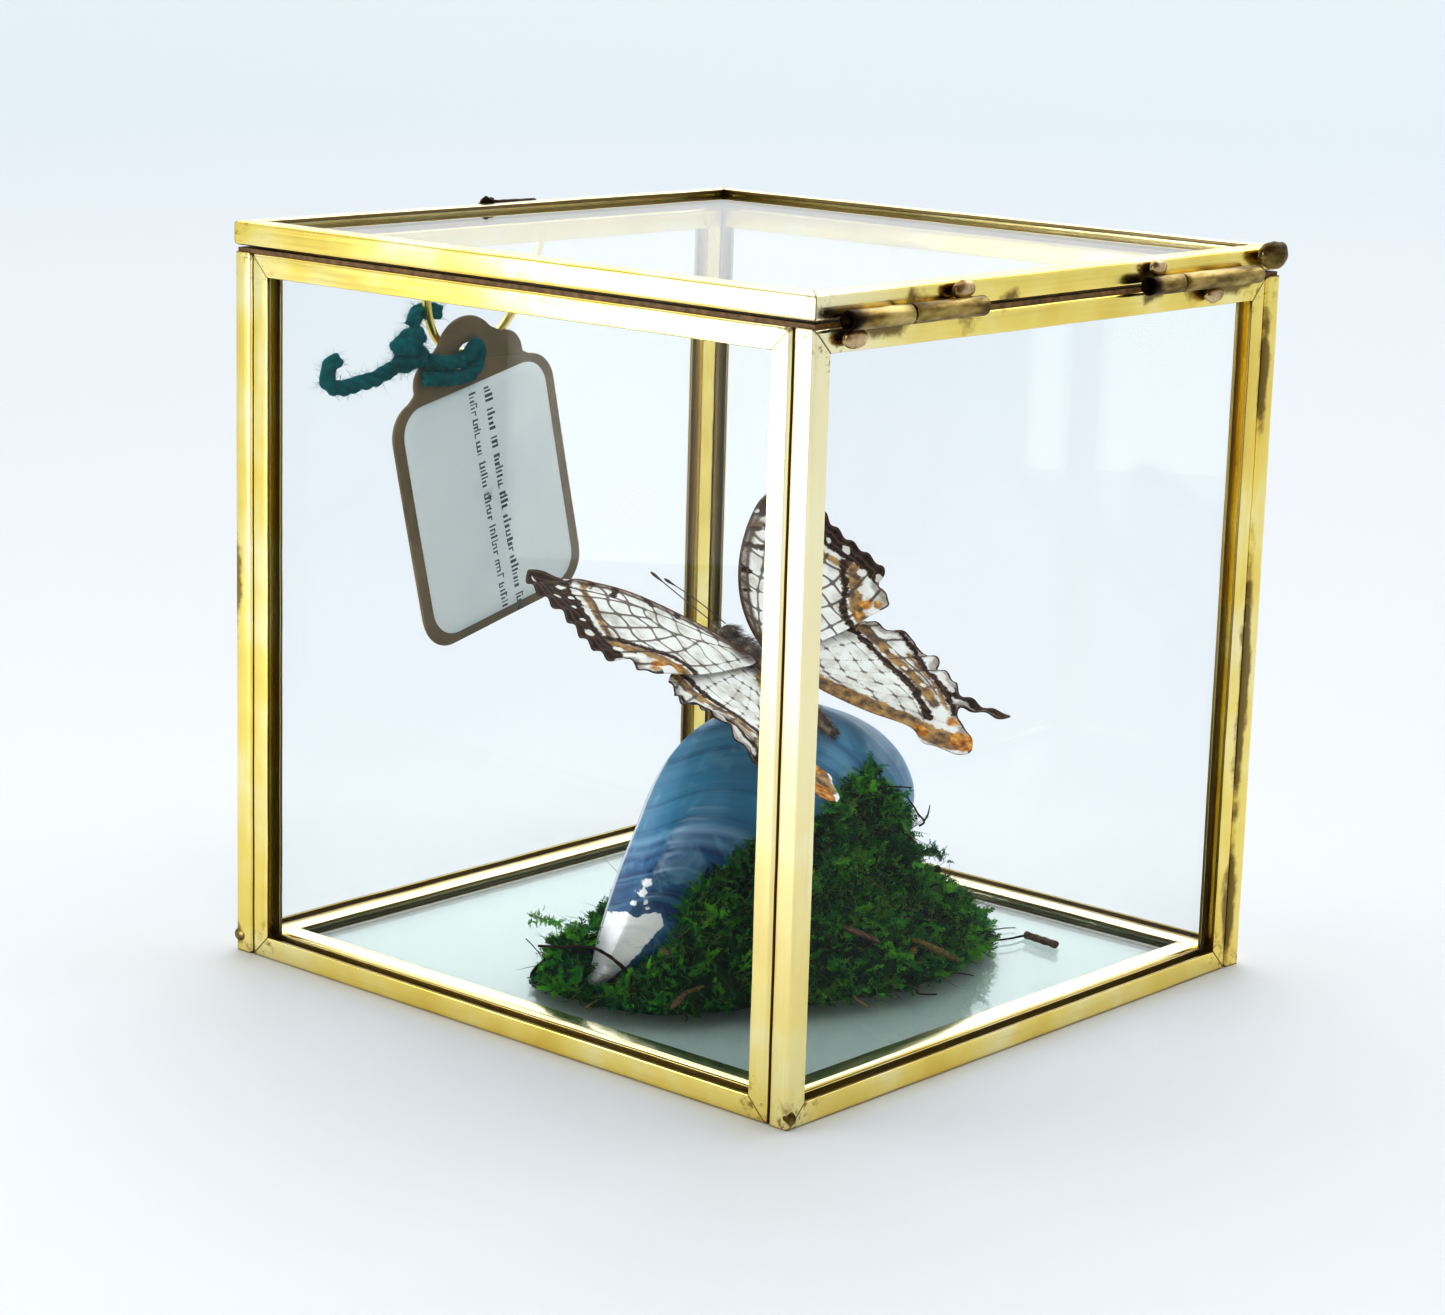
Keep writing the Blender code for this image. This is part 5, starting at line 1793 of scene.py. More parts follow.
# Each twig: depth from the camera or nothing where it lies on the moss, height over what it lies
# on, places along it in the photograph's pixels, radius at both ends, and which litter it is
TWIGS = {
    "twig_over_beak": (
        BEAK_DEPTH,
        0,
        ((540, 945), (562, 946), (597, 948), (618, 961), (634, 974)),
        0.15,
        0.26,
        "bark",
    ),
    "hair_by_beak": (BEAK_DEPTH, 0, ((528, 938), (535, 945), (543, 955)), 0.07, 0.05, "bark"),
    "stick_stem": (None, 0.5, ((988, 940), (1004, 938), (1021, 935)), 0.10, 0.16, "bark"),
    "stick_hair": (None, 0.5, ((988, 930), (1001, 927), (1013, 927)), 0.10, 0.06, "bark"),
    "peak_twig": (SHOULDER_DEPTH, 0, ((884, 786), (896, 786), (909, 787)), 0.11, 0.08, "bark"),
    "shoulder_twig": (
        SHOULDER_DEPTH,
        0,
        ((904, 796), (911, 806), (915, 813), (921, 821), (916, 825)),
        0.10,
        0.15,
        "bark",
    ),
    "shoulder_fork": (SHOULDER_DEPTH, 0, ((920, 821), (925, 814), (927, 804)), 0.14, 0.06, "bark"),
    "shoulder_stem": (None, 1.9, ((890, 824), (902, 832), (913, 842)), 0.22, 0.20, "bark"),
    "front_twig": (None, 1.6, ((914, 975), (914, 986), (915, 993), (934, 993)), 0.16, 0.10, "bark"),
    "front_hair": (None, 0.8, ((948, 972), (960, 973), (971, 975)), 0.10, 0.07, "bark"),
    "near_twig": (None, 1.6, ((851, 996), (858, 1001), (866, 1006)), 0.20, 0.12, "wood"),
    "pale_twig": (None, 1.9, ((866, 877), (876, 886), (888, 899)), 0.12, 0.08, "wood"),
    "pale_hair": (None, 1.9, ((845, 878), (851, 893), (853, 903)), 0.07, 0.05, "wood"),
    "left_twig": (None, 1.8, ((633, 975), (634, 990), (632, 1004)), 0.15, 0.10, "bark"),
    "left_hair": (None, 1.2, ((588, 1007), (594, 1003), (601, 999)), 0.16, 0.10, "wood"),
    "red_strip": (None, 1.9, ((822, 946), (838, 950), (856, 958)), 0.20, 0.10, "bark"),
}
# Each chip: its two ends in the photograph's pixels, half its width, half its thickness, its litter
CHIPS = {
    "bark_flake": ((838, 925), (877, 941), 1.00, 0.40, "bark_flake"),
    "wood_chip": ((909, 938), (957, 960), 0.55, 0.50, "wood"),
    "olive_chip": ((914, 942), (905, 958), 0.45, 0.35, "wood"),
    "tan_sliver": ((894, 904), (915, 910), 0.26, 0.20, "wood"),
    "fallen_leaf": ((673, 1008), (689, 990), 0.50, 0.18, "bark_flake"),
    "olive_leaf": ((686, 992), (707, 985), 0.50, 0.22, "wood"),
    "beak_leaf": ((664, 948), (672, 956), 0.45, 0.22, "bark_flake"),
}
CHIP_RINGS = 22
CHIP_SIDES = 14
BEAD_PLACE = (934, 868)
BEAD_RADII = (0.55, 0.55, 0.5)
STICK_ENDS = ((1023, 934), (1053, 944))
STICK_RADIUS = 0.52
STICK_RINGS = 14
# Each tuft: depth from the camera or nothing where it lies on the moss, places along it in the
# photograph's pixels, how many shoots, and their shade
TUFTS = {
    "lime_tuft": (None, ((968, 955), (976, 951), (986, 950)), 110, 1.0),
    "left_frond": (
        BEAK_DEPTH + 4,
        ((533, 917), (545, 919), (556, 922), (567, 925), (578, 928)),
        90,
        0.8,
    ),
    "left_tuft": (BEAK_DEPTH - 1, ((596, 916), (594, 924), (590, 932)), 50, 0.6),
    "shoulder_frond": (
        SHOULDER_DEPTH,
        ((884, 838), (894, 842), (904, 846), (914, 848), (923, 851), (932, 852), (940, 857)),
        190,
        0.4,
    ),
    "yellow_spot": (None, ((883, 943), (885, 949)), 24, 1.0),
    "bright_spot": (None, ((851, 968), (850, 973)), 24, 0.95),
    "right_spot": (None, ((934, 895), (944, 893), (950, 898)), 40, 0.9),
}


def picture_way(across, down):
    """From the camera through a place in the photograph, per millimetre of depth."""
    right, up, back = camera_axes()
    return (right * (across - IMAGE_WIDTH / 2) - up * (down - IMAGE_HEIGHT / 2)) / FOCAL_PIXELS - back


def on_litter_floor(across, down, lift):
    """Where the camera's line through a place in the photograph meets the moss or the glass."""
    way = picture_way(across, down)
    for depth in LITTER_DEPTHS:
        spot = np.array(CAMERA_PLACE) + way * depth
        offset = spot[:2] - MOSS_CENTRE
        angle = np.arctan2(offset[1], offset[0])
        ground = BASE_TOP
        if np.linalg.norm(offset) < moss_reach(angle):
            ground = MOSS_BASE + heap_height(spot[0], spot[1])
        if spot[2] < ground + lift:
            break
    return spot


def litter_place(across, down, depth, lift):
    if depth is None:
        return on_litter_floor(across, down, lift)
    return np.array(CAMERA_PLACE) + picture_way(across, down) * depth


def make_chip(name, ends, wide, thick, material):
    """A flat bit with blunt ends, lying along the ground."""
    start, end = (on_litter_floor(across, down, 2.2) for across, down in ends)
    along = (end - start) / np.linalg.norm(end - start)
    side = np.cross(Z_AXIS, along)
    side /= np.linalg.norm(side)
    up = np.cross(along, side)
    rings = []
    for share in np.linspace(-1, 1, CHIP_RINGS):
        swell = (1 - abs(share) ** 3.5) ** 0.5 + 0.05
        centre = (start + end) / 2 + (end - start) / 2 * share
        for turn in np.linspace(0, 2 * pi, CHIP_SIDES, endpoint=False):
            spot = centre + swell * (side * wide * cos(turn) + up * thick * sin(turn))
            rings.append(spot + 0.12 * np.array(noise.noise_vector(Vector(spot) / 0.9)))
    make_piece(name, rings, ring_faces(CHIP_RINGS, CHIP_SIDES), material, "box")


def make_twigs(moss):
    litter = {
        kind: litter_material(name, *colours) for kind, (name, *colours) in LITTER_COLOURS.items()
    }
    for name, (depth, lift, places, start_radius, end_radius, kind) in TWIGS.items():
        route = [litter_place(across, down, depth, lift) for across, down in places]
        curve = smooth_route(route, 8)
        bent = [spot + 0.1 * np.array(noise.noise_vector(Vector(spot) / 1.5)) for spot in curve]
        radii = np.linspace(start_radius, end_radius, len(curve))
        points, faces = tube(bent, radii, 9, 0.15)
        make_piece(name, points, faces, litter[kind], "box")
    for name, (start, end, wide, thick, kind) in CHIPS.items():
        make_chip(name, (start, end), wide, thick, litter[kind])
    points, faces = lump(on_litter_floor(*BEAD_PLACE, 0.5), BEAD_RADII, 0.8, 0.12, seed=2.0)
    make_piece("seed_bead", points, faces, litter["bark"], "box")
    stick = np.array([on_litter_floor(across, down, STICK_RADIUS) for across, down in STICK_ENDS])
    curve = np.linspace(*stick, STICK_RINGS)
    radii = STICK_RADIUS + 0.05 * np.sin(np.arange(STICK_RINGS) * 1.7)
    points, faces = tube(curve, radii, 16, 0.12)
    make_piece("broken_stick", points, faces, litter["bark_flake"], "box", ["moss_stick"])
    for name, (depth, places, count, shade) in TUFTS.items():
        route = np.array([litter_place(across, down, depth, 1.9) for across, down in places])
        curve = smooth_route(route, 8)
        spots = curve[RANDOM.integers(0, len(curve), count)] + RANDOM.normal(0, 0.22, (count, 3))
        normals = unit_rows(RANDOM.normal(0, 1, (count, 3)) + (0, 0, 0.4))
        scatter_sprigs(name, spots, normals, SPRIG_LENGTH * 0.55, moss, len(name), shade)


# The butterfly

FLY_BASE = np.array([1.7, -0.4, 43.0])
FLY_PITCH = radians(28.4)
FLY_ROLL = radians(-4.7)
# The mouthparts beside the head: outwards, ahead and up
PALP_ROUTE = ((0.35, 6.6, -1.2), (0.4, 7.6, -0.9), (0.3, 8.3, -0.5))
WING_THICK = 0.14
WING_GRID = 0.24
# The share of light that a wing lets through
WING_GLOW = 0.18
# Dihedral, twist about the span, and height of the root above the shoulder
WING_POSES = {
    "left_forewing": (radians(8.5), radians(-2.0), 0.3),
    "right_forewing": (radians(11.0), radians(3.5), 0.35),
    "left_hindwing": (radians(3.5), 0.0, -0.35),
    "right_hindwing": (radians(9.5), 0.0, -0.35),
}
# Wing outlines: outwards from the body, then towards the head
FOREWING_OUTLINE = (
    (1.75, 1.6),
    (3.0, 5.6),
    (5.2, 9.6),
    (8.4, 13.6),
    (12.4, 17.4),
    (17.0, 20.8),
    (21.2, 22.8),
    (23.6, 23.2),
    (25.2, 21.8),
    (25.9, 19.6),
    (25.95, 17.6),
    (26.0, 15.6),
    (25.75, 13.8),
    (25.95, 12.0),
    (26.1, 10.2),
    (26.4, 8.4),
    (26.5, 6.6),
    (26.7, 5.0),
    (26.4, 3.2),
    (24.7, 2.4),
    (24.0, 1.2),
    (24.2, 0.0),
    (23.2, -1.4),
    (20.0, -1.8),
    (14.0, -2.4),
    (7.0, -2.2),
    (1.75, -1.6),
)
LEADING_POINTS = 8
HINDWING_OUTLINE = (
    (1.75, -1.4),
    (6.0, 0.4),
    (12.0, 0.6),
    (17.0, -0.2),
    (19.4, -2.0),
    (20.2, -3.8),
    (21.6, -5.2),
    (22.8, -7.4),
    (21.9, -9.0),
    (22.6, -10.6),
    (23.0, -12.6),
    (21.5, -13.8),
    (21.9, -15.4),
    (21.5, -17.2),
    (20.5, -19.2),
    (21.5, -21.6),
    (22.6, -24.0),
    (24.1, -25.4),
    (23.5, -25.9),
    (21.8, -25.0),
    (20.2, -23.0),
    (18.6, -21.4),
    (17.2, -22.0),
    (16.2, -24.0),
    (15.6, -26.4),
    (13.8, -28.2),
    (11.8, -27.6),
    (10.4, -25.0),
    (9.2, -23.4),
    (9.6, -20.4),
    (6.6, -15.6),
    (4.0, -10.0),
    (2.2, -4.4),
)
FOREWING_VEINS = (
    ((1.8, 1.4), (6.0, 8.6), (12.6, 16.2), (17.0, 19.6)),
    ((1.8, 1.0), (7.5, 8.4), (11.5, 11.9), (17.2, 17.2), (23.2, 22.0)),
    ((11.5, 11.9), (18.0, 15.9), (25.8, 19.4)),
    ((12.2, 9.8), (18.5, 12.2), (25.9, 15.8)),
    ((12.0, 7.8), (18.5, 8.9), (25.6, 12.0)),
    ((10.2, 6.0), (18.0, 5.4), (26.2, 8.5)),
    ((7.6, 4.2), (16.0, 2.2), (26.6, 5.2)),
    ((1.8, -0.4), (10.0, -0.9), (18.0, -0.4), (25.8, 1.8)),
    ((1.8, 0.8), (7.6, 4.2), (10.2, 6.0), (12.0, 7.8)),
    ((11.5, 11.9), (12.5, 10.6), (12.0, 7.8)),
)
# Wavy lines that cross the veins, from the leading edge to the inner margin
FOREWING_LINES = (
    ((3.6, 6.9), (3.9, 4.6), (4.9, 2.6), (4.4, 0.6), (4.9, -2.2)),
    ((5.2, 9.4), (5.4, 6.6), (6.9, 4.2), (6.4, 1.4), (7.2, -2.3)),
    ((7.2, 12.2), (8.0, 9.0), (9.6, 6.2), (8.8, 3.2), (9.8, 0.6), (9.2, -2.4)),
    ((9.4, 14.6), (9.9, 11.4), (11.6, 8.8), (11.3, 5.6), (12.5, 2.2), (12.0, -2.4)),
    ((12.4, 17.2), (12.9, 14.2), (14.6, 11.4), (14.0, 8.2), (15.4, 4.8), (14.8, 1.0), (15.4, -2.2)),
    ((15.0, 19.4), (15.1, 16.2), (17.0, 13.4), (17.2, 9.8), (18.4, 6.6), (18.0, 3.4)),
    ((18.4, 18.6), (18.6, 15.2), (20.2, 11.8), (20.4, 8.6), (21.6, 5.8)),
)
HINDWING_VEINS = (
    ((1.9, -1.7), (8.0, -0.6), (15.0, -1.2), (20.0, -3.6)),
    ((1.9, -1.8), (8.0, -3.0), (14.5, -4.4), (22.6, -7.4)),
    ((6.6, -4.2), (13.0, -7.6), (22.4, -10.8)),
    ((6.2, -5.4), (12.0, -9.8), (21.4, -13.8)),
    ((5.6, -6.0), (11.4, -12.0), (20.6, -18.6)),
    ((5.2, -6.6), (10.6, -14.0), (17.4, -20.2), (23.6, -25.4)),
    ((4.6, -7.0), (9.8, -15.4), (14.0, -22.0), (16.4, -24.2)),
    ((2.2, -2.4), (5.0, -9.0), (9.0, -17.6), (12.4, -24.6), (13.4, -28.0)),
)
HINDWING_LINES = (
    ((4.4, -0.2), (4.6, -3.0), (3.8, -6.6)),
    ((6.8, 0.4), (7.6, -3.0), (6.4, -6.4), (6.8, -10.4)),
    ((9.4, 0.5), (9.6, -4.4), (8.6, -8.6), (9.4, -12.4), (8.2, -16.0)),
    ((11.6, 0.6), (12.2, -4.6), (11.2, -9.6), (11.8, -14.2), (10.6, -18.6)),
    ((13.6, 0.4), (14.0, -6.0), (13.4, -11.2), (13.4, -16.0), (11.9, -20.8)),
    ((18.0, -1.4), (18.4, -6.0), (18.6, -10.0), (18.2, -14.0), (17.0, -18.0)),
)
# Dark bands and bars: each line and its half-width
FOREWING_BANDS = (
    (
        ((22.8, 7.8), (21.0, 6.3), (20.2, 4.8), (18.7, 3.1), (16.9, 1.6), (15.6, -0.4), (14.9, -2.6)),
        0.62,
    ),
    (((11.8, 18.0), (12.8, 16.6), (14.4, 15.4)), 0.62),
    (((8.4, 15.0), (9.0, 13.8), (9.4, 12.6)), 0.6),
    (((5.4, 11.0), (6.2, 10.2), (7.0, 9.6)), 0.42),
    (((14.8, 20.4), (15.4, 18.8), (17.0, 17.6)), 0.4),
)
HINDWING_BANDS = (
    (((15.6, 0.6), (15.9, -5.3), (15.6, -9.7), (15.4, -13.7), (13.9, -18.4), (12.9, -20.6)), 0.68),
    (
        (
            (21.2, -4.6),
            (21.7, -7.3),
            (20.7, -10.7),
            (19.6, -13.7),
            (18.9, -16.8),
            (18.0, -19.4),
            (16.8, -21.8),
        ),
        0.55,
    ),
    (((19.4, -18.6), (20.8, -21.6), (22.4, -24.2), (24.2, -25.8)), 0.85),
)
# The dark tip and outer margin of the forewing
FOREWING_TIP = (
    (14.8, 23.6),
    (17.4, 20.3),
    (19.6, 18.6),
    (20.6, 15.6),
    (21.9, 13.0),
    (22.6, 9.8),
    (23.5, 6.8),
    (23.8, 3.4),
    (24.6, 1.6),
    (29.0, 1.0),
    (29.0, 26.0),
)
# Ochre stretches: each line and its half-width
FOREWING_OCHRE = (
    (((13.6, 19.4), (16.6, 18.8), (18.6, 16.6), (20.0, 13.4), (21.2, 10.4), (22.0, 7.6)), 0.62),
    (((23.0, 6.6), (21.6, 4.2), (19.6, 1.8), (18.0, -0.2), (17.0, -2.6)), 1.1),
)
HINDWING_OCHRE = (
    (((2.6, -5.0), (5.4, -11.0), (8.4, -17.0), (11.0, -22.4), (12.6, -25.4)), 1.75),
    (((17.1, -0.6), (17.5, -5.0), (17.4, -9.0), (16.9, -13.8), (15.3, -19.0)), 1.0),
    (((20.0, -9.6), (18.9, -13.6), (18.0, -17.4), (16.4, -20.6)), 0.5),
)
# White or pale patches in the dark: middle and half-widths
FOREWING_PALE = (
    (20.8, 19.3, 0.95, 0.5),
    (18.1, 20.9, 0.65, 0.3),
    (19.3, 17.4, 0.8, 0.55),
    (21.4, 16.6, 0.55, 0.5),
    (23.3, 17.4, 0.45, 0.5),
    (21.2, 13.4, 0.6, 0.5),
    (23.4, 12.0, 0.4, 0.55),
    (22.2, 10.4, 0.5, 0.45),
    (23.8, 21.6, 0.3, 0.45),
    (20.4, 14.9, 0.45, 0.4),
    (22.8, 14.6, 0.35, 0.45),
    (24.4, 9.4, 0.55, 0.8),
    (23.5, 4.9, 0.75, 0.7),
    (25.2, 2.9, 0.8, 0.5),
    (21.6, 2.4, 0.9, 0.7),
)
HINDWING_PALE = (
    (18.2, -1.4, 0.6, 0.7),
    (18.9, -4.8, 0.7, 0.9),
    (18.2, -7.9, 0.45, 0.8),
    (17.2, -11.4, 0.4, 0.6),
    (16.7, -15.4, 0.45, 0.6),
    (12.9, -22.4, 0.5, 0.55),
    (20.6, -15.2, 0.6, 0.9),
    (19.6, -18.2, 0.5, 0.6),
    (21.9, -11.6, 0.6, 0.7),
)
# Rusty and orange patches: middle and half-widths
FOREWING_RUST = ((20.2, 0.2, 1.5, 0.9), (21.9, -0.5, 0.9, 0.7), (17.6, -0.9, 0.9, 0.7))
HINDWING_RUST = ((13.9, -26.3, 1.7, 1.9), (15.4, -22.8, 1.0, 0.8), (10.6, -21.8, 0.9, 1.2))
# How far the left hindwing's outer edge curls up, and where
LEFT_LIFT = radians(4.0)
CURL_HEIGHT = 2.6
CURL_ALONG = -12.5
CURL_SPREAD = 5.0


def fly_axes():
    """The insect's own directions: to its head, to its left and up from its back."""
    ahead = np.array([-cos(FLY_PITCH), 0, sin(FLY_PITCH)])
    level_up = np.cross(ahead, -Y_AXIS)
    left = -Y_AXIS * cos(FLY_ROLL) + level_up * sin(FLY_ROLL)
    return ahead, left, np.cross(ahead, left)


def wing_axes(name):
    """A wing's root and its directions: outwards, forwards and out of its upper face."""
    ahead, left, up = fly_axes()
    dihedral, twist, root_rise = WING_POSES[name]
    side = left if name.startswith("left") else -left
    outwards = side * cos(dihedral) + up * sin(dihedral)
    above = up * cos(dihedral) - side * sin(dihedral)
    forwards = ahead * cos(twist) + above * sin(twist)
    face = np.cross(outwards, forwards)
    face /= np.linalg.norm(face)
    if face @ up < 0:
        face = -face
    return FLY_BASE + up * root_rise, outwards, forwards, face


def fill_outline(outline, grid):
    """An even net of squares inside an outline, its edge points drawn on to the outline."""
    low, high = outline.min(0) - grid, outline.max(0) + grid
    columns, rows = np.ceil((high - low) / grid).astype(int)
    across, along = np.arange(columns) * grid + low[0], np.arange(rows) * grid + low[1]
    xs, ys = np.meshgrid(across, along, indexing="ij")
    flat = np.column_stack([xs.ravel(), ys.ravel()])
    depth = signed_distance(flat, outline).reshape(columns, rows)
    within = depth > 0
    corners = np.argwhere(within[:-1, :-1] & within[1:, :-1] & within[:-1, 1:] & within[1:, 1:])
    number = np.arange(columns * rows).reshape(columns, rows)
    faces = np.column_stack(
        [
            number[corners[:, 0], corners[:, 1]],
            number[corners[:, 0] + 1, corners[:, 1]],
            number[corners[:, 0] + 1, corners[:, 1] + 1],
            number[corners[:, 0], corners[:, 1] + 1],
        ]
    )
    used = np.unique(faces)
    renumbered = np.full(columns * rows, -1)
    renumbered[used] = np.arange(len(used))
    faces = renumbered[faces]
    flat = flat[used]
    sides = [faces[:, [0, 1]], faces[:, [1, 2]], faces[:, [2, 3]], faces[:, [3, 0]]]
    edges = np.sort(np.concatenate(sides), axis=1)
    pairs, counts = np.unique(edges, axis=0, return_counts=True)
    rim = np.unique(pairs[counts == 1])
    closed = np.vstack([outline, outline[:1]])
    for spot in rim:
        starts, spans = closed[:-1], np.diff(closed, axis=0)
        shares = np.sum((flat[spot] - starts) * spans, axis=1) / np.sum(spans**2, axis=1)
        shares = np.clip(shares, 0, 1)
        nearest = starts + shares[:, None] * spans
        flat[spot] = nearest[np.argmin(np.linalg.norm(nearest - flat[spot], axis=1))]
    return flat, faces, pairs[counts == 1]


def spot_depth(flat, spots):
    """How deep each point is in the nearest of some oval spots, in millimetres."""
    best = np.full(len(flat), -9.0)
    for out, along, half_out, half_along in spots:
        radius = np.hypot((flat[:, 0] - out) / half_out, (flat[:, 1] - along) / half_along)
        best = np.maximum(best, (1 - radius) * min(half_out, half_along))
    return best


def band_depth(flat, bands):
    """How deep each point is in the nearest of some bands along lines."""
    best = np.full(len(flat), -9.0)
    for line, half_width in bands:
        best = np.maximum(best, half_width - line_distance(flat, smooth_route(line, 8)))
    return best


def net_distance(flat, lines, spread=0.16):
    """Distance from the nearest line of a net, its corners rounded where lines meet."""
    near = sum(np.exp(-line_distance(flat, smooth_route(line, 8)) / spread) for line in lines)
    return -spread * np.log(np.maximum(near, 1e-9))


def wing_marks(flat, outline, fore):
    """The distances in millimetres that one wing's markings are drawn from."""
    out, along = flat.T
    net = FOREWING_VEINS + FOREWING_LINES if fore else HINDWING_VEINS + HINDWING_LINES
    edge = line_distance(flat, np.vstack([outline, outline[:1]]))
    marks = {
        "net": net_distance(flat, net),
        "dark": band_depth(flat, FOREWING_BANDS if fore else HINDWING_BANDS),
        "ochre": band_depth(flat, FOREWING_OCHRE if fore else HINDWING_OCHRE),
        "pale": spot_depth(flat, FOREWING_PALE if fore else HINDWING_PALE),
        "rust": spot_depth(flat, FOREWING_RUST if fore else HINDWING_RUST),
        "edge": edge,
        "root": np.linalg.norm(flat - (1.75, 0.0 if fore else -2.0), axis=1),
    }
    if fore:
        leading = line_distance(flat, smooth_route(FOREWING_OUTLINE[:LEADING_POINTS], 8))
        marks["dark"] = np.maximum(marks["dark"], signed_distance(flat, np.array(FOREWING_TIP)))
        marks["costa"] = leading
        marks["heavy"] = 0.085 + 0.13 * np.clip((out - 3) / 16, 0, 1)
        marks["heavy"] += 0.10 * np.clip(1 - leading / 3, 0, 1)
        outer = out > 21
    else:
        marks["costa"] = np.full(len(flat), 9.0)
        marks["heavy"] = 0.075 + 0.10 * np.clip((out - 14) / 5, 0, 1)
        outer = (out > 16.5) | ((out > 13.0) & (along < -19.0))
    marks["margin"] = np.where(outer, edge, 9.0)
    return marks


def wing_material():
    """Translucent white scales with a brown net, dark tips and bands, and rusty corners."""
    shader = Shader("map_wing")
    rough = shader.math("SUBTRACT", shader.noise(0.75, 5, roughness=0.65), 0.5)
    broad = shader.math("SUBTRACT", shader.noise(2.2, 3), 0.5)
    fine = shader.noise(0.18, 3, roughness=0.7)

    def depth(name, rough_share, broad_share=0.0):
        """A stored distance made ragged by noise."""
        value = shader.math("ADD", shader.value(name), shader.math("MULTIPLY", rough, rough_share))
        return shader.math("ADD", value, shader.math("MULTIPLY", broad, broad_share))

    ground = shader.ramp(
        shader.noise(2.6, 4),
        (0.32, (0.62, 0.60, 0.54)),
        (0.5, (0.86, 0.86, 0.82)),
        (0.7, (0.93, 0.94, 0.92)),
    )
    tan = shader.ramp(
        shader.noise(0.9, 4, roughness=0.6),
        (0.35, (0.075, 0.040, 0.024)),
        (0.5, (0.22, 0.15, 0.10)),
        (0.7, (0.55, 0.47, 0.38)),
    )
    ochre = shader.ramp(
        shader.noise(1.5, 4, roughness=0.6),
        (0.38, (0.060, 0.026, 0.008)),
        (0.5, (0.30, 0.145, 0.022)),
        (0.64, (0.50, 0.31, 0.075)),
    )
    dark = shader.ramp(
        shader.noise(0.5, 4, roughness=0.7),
        (0.36, (0.006, 0.003, 0.002)),
        (0.52, (0.024, 0.010, 0.005)),
        (0.70, (0.115, 0.048, 0.016)),
    )
    rust = shader.ramp(
        shader.noise(0.9, 4),
        (0.32, (0.16, 0.048, 0.006)),
        (0.48, (0.55, 0.215, 0.016)),
        (0.66, (0.82, 0.50, 0.12)),
    )
    colour = shader.mix(shader.range(depth("costa", 0.9, 0.5), 1.75, 1.25, 0, 0.85), ground, tan)
    colour = shader.mix(shader.range(depth("margin", 1.2, 0.8), 1.5, 0.7, 0, 0.6), colour, tan)
    colour = shader.mix(shader.range(depth("ochre", 1.5, 0.8), -0.15, 0.35, 0, 0.92), colour, ochre)
    line = shader.math("SUBTRACT", depth("net", 0.16, 0.08), shader.value("heavy"))
    colour = shader.mix(shader.range(line, 0.055, -0.07, 0, 0.88), colour, (0.115, 0.078, 0.056))
    black = shader.range(depth("dark", 1.7, 1.1), -0.12, 0.22)
    black = shader.math("MAXIMUM", black, shader.range(depth("costa", 0.5), 0.55, 0.25))
    black = shader.math("MAXIMUM", black, shader.range(depth("margin", 0.5), 0.36, 0.14, 0, 0.95))
    black = shader.math("MAXIMUM", black, shader.range(depth("root", 1.5), 3.4, 1.0, 0, 0.8))
    stripes = shader.math("SINE", shader.math("MULTIPLY", depth("edge", 0.5, 0.8), 6.0))
    dark = shader.mix(shader.range(stripes, 0.2, 0.95, 0, 0.5), dark, (0.19, 0.085, 0.028))
    colour = shader.mix(black, colour, dark)
    colour = shader.mix(shader.range(depth("rust", 1.3, 0.5), -0.15, 0.3, 0, 0.95), colour, rust)
    pale = shader.range(depth("pale", 0.9, 0.3), -0.06, 0.12, 0, 0.92)
    colour = shader.mix(pale, colour, (0.86, 0.85, 0.80))
    shader.set(Base_Color=colour, Roughness=0.6, Specular_IOR_Level=0.15)
    shader.bump(shader.math("SUBTRACT", fine, shader.range(line, 0.06, -0.06)), 0.5, 0.05)
    shader.lay_over(WING_GLOW, "ShaderNodeBsdfTranslucent", colour)
    return shader.material


def wing_wave(name, flat, edge):
    """A dried wing's waves and curled edges, in millimetres out of its plane."""
    seed = sum(map(ord, name)) % 17
    out, along = flat.T
    wave = 0.45 * np.sin(out / 4.6 + along / 7.0 + seed) + 0.22 * np.sin(along / 2.2 + seed * 2)
    wave *= np.clip(out / 20, 0, 1) ** 1.5
    crumpled = np.clip(1 - edge / 3.0, 0, 1) * np.clip((out - 14) / 6, 0, 1)
    wave += 0.35 * crumpled * np.sin(along * 2.1 + seed)
    if name == "left_hindwing":
        wave += out * tan(LEFT_LIFT)
        curl = np.clip((out - 8) / 12, 0, 1.2) ** 2
        wave += CURL_HEIGHT * curl * np.exp(-(((along - CURL_ALONG) / CURL_SPREAD) ** 2) / 2)
    return wave


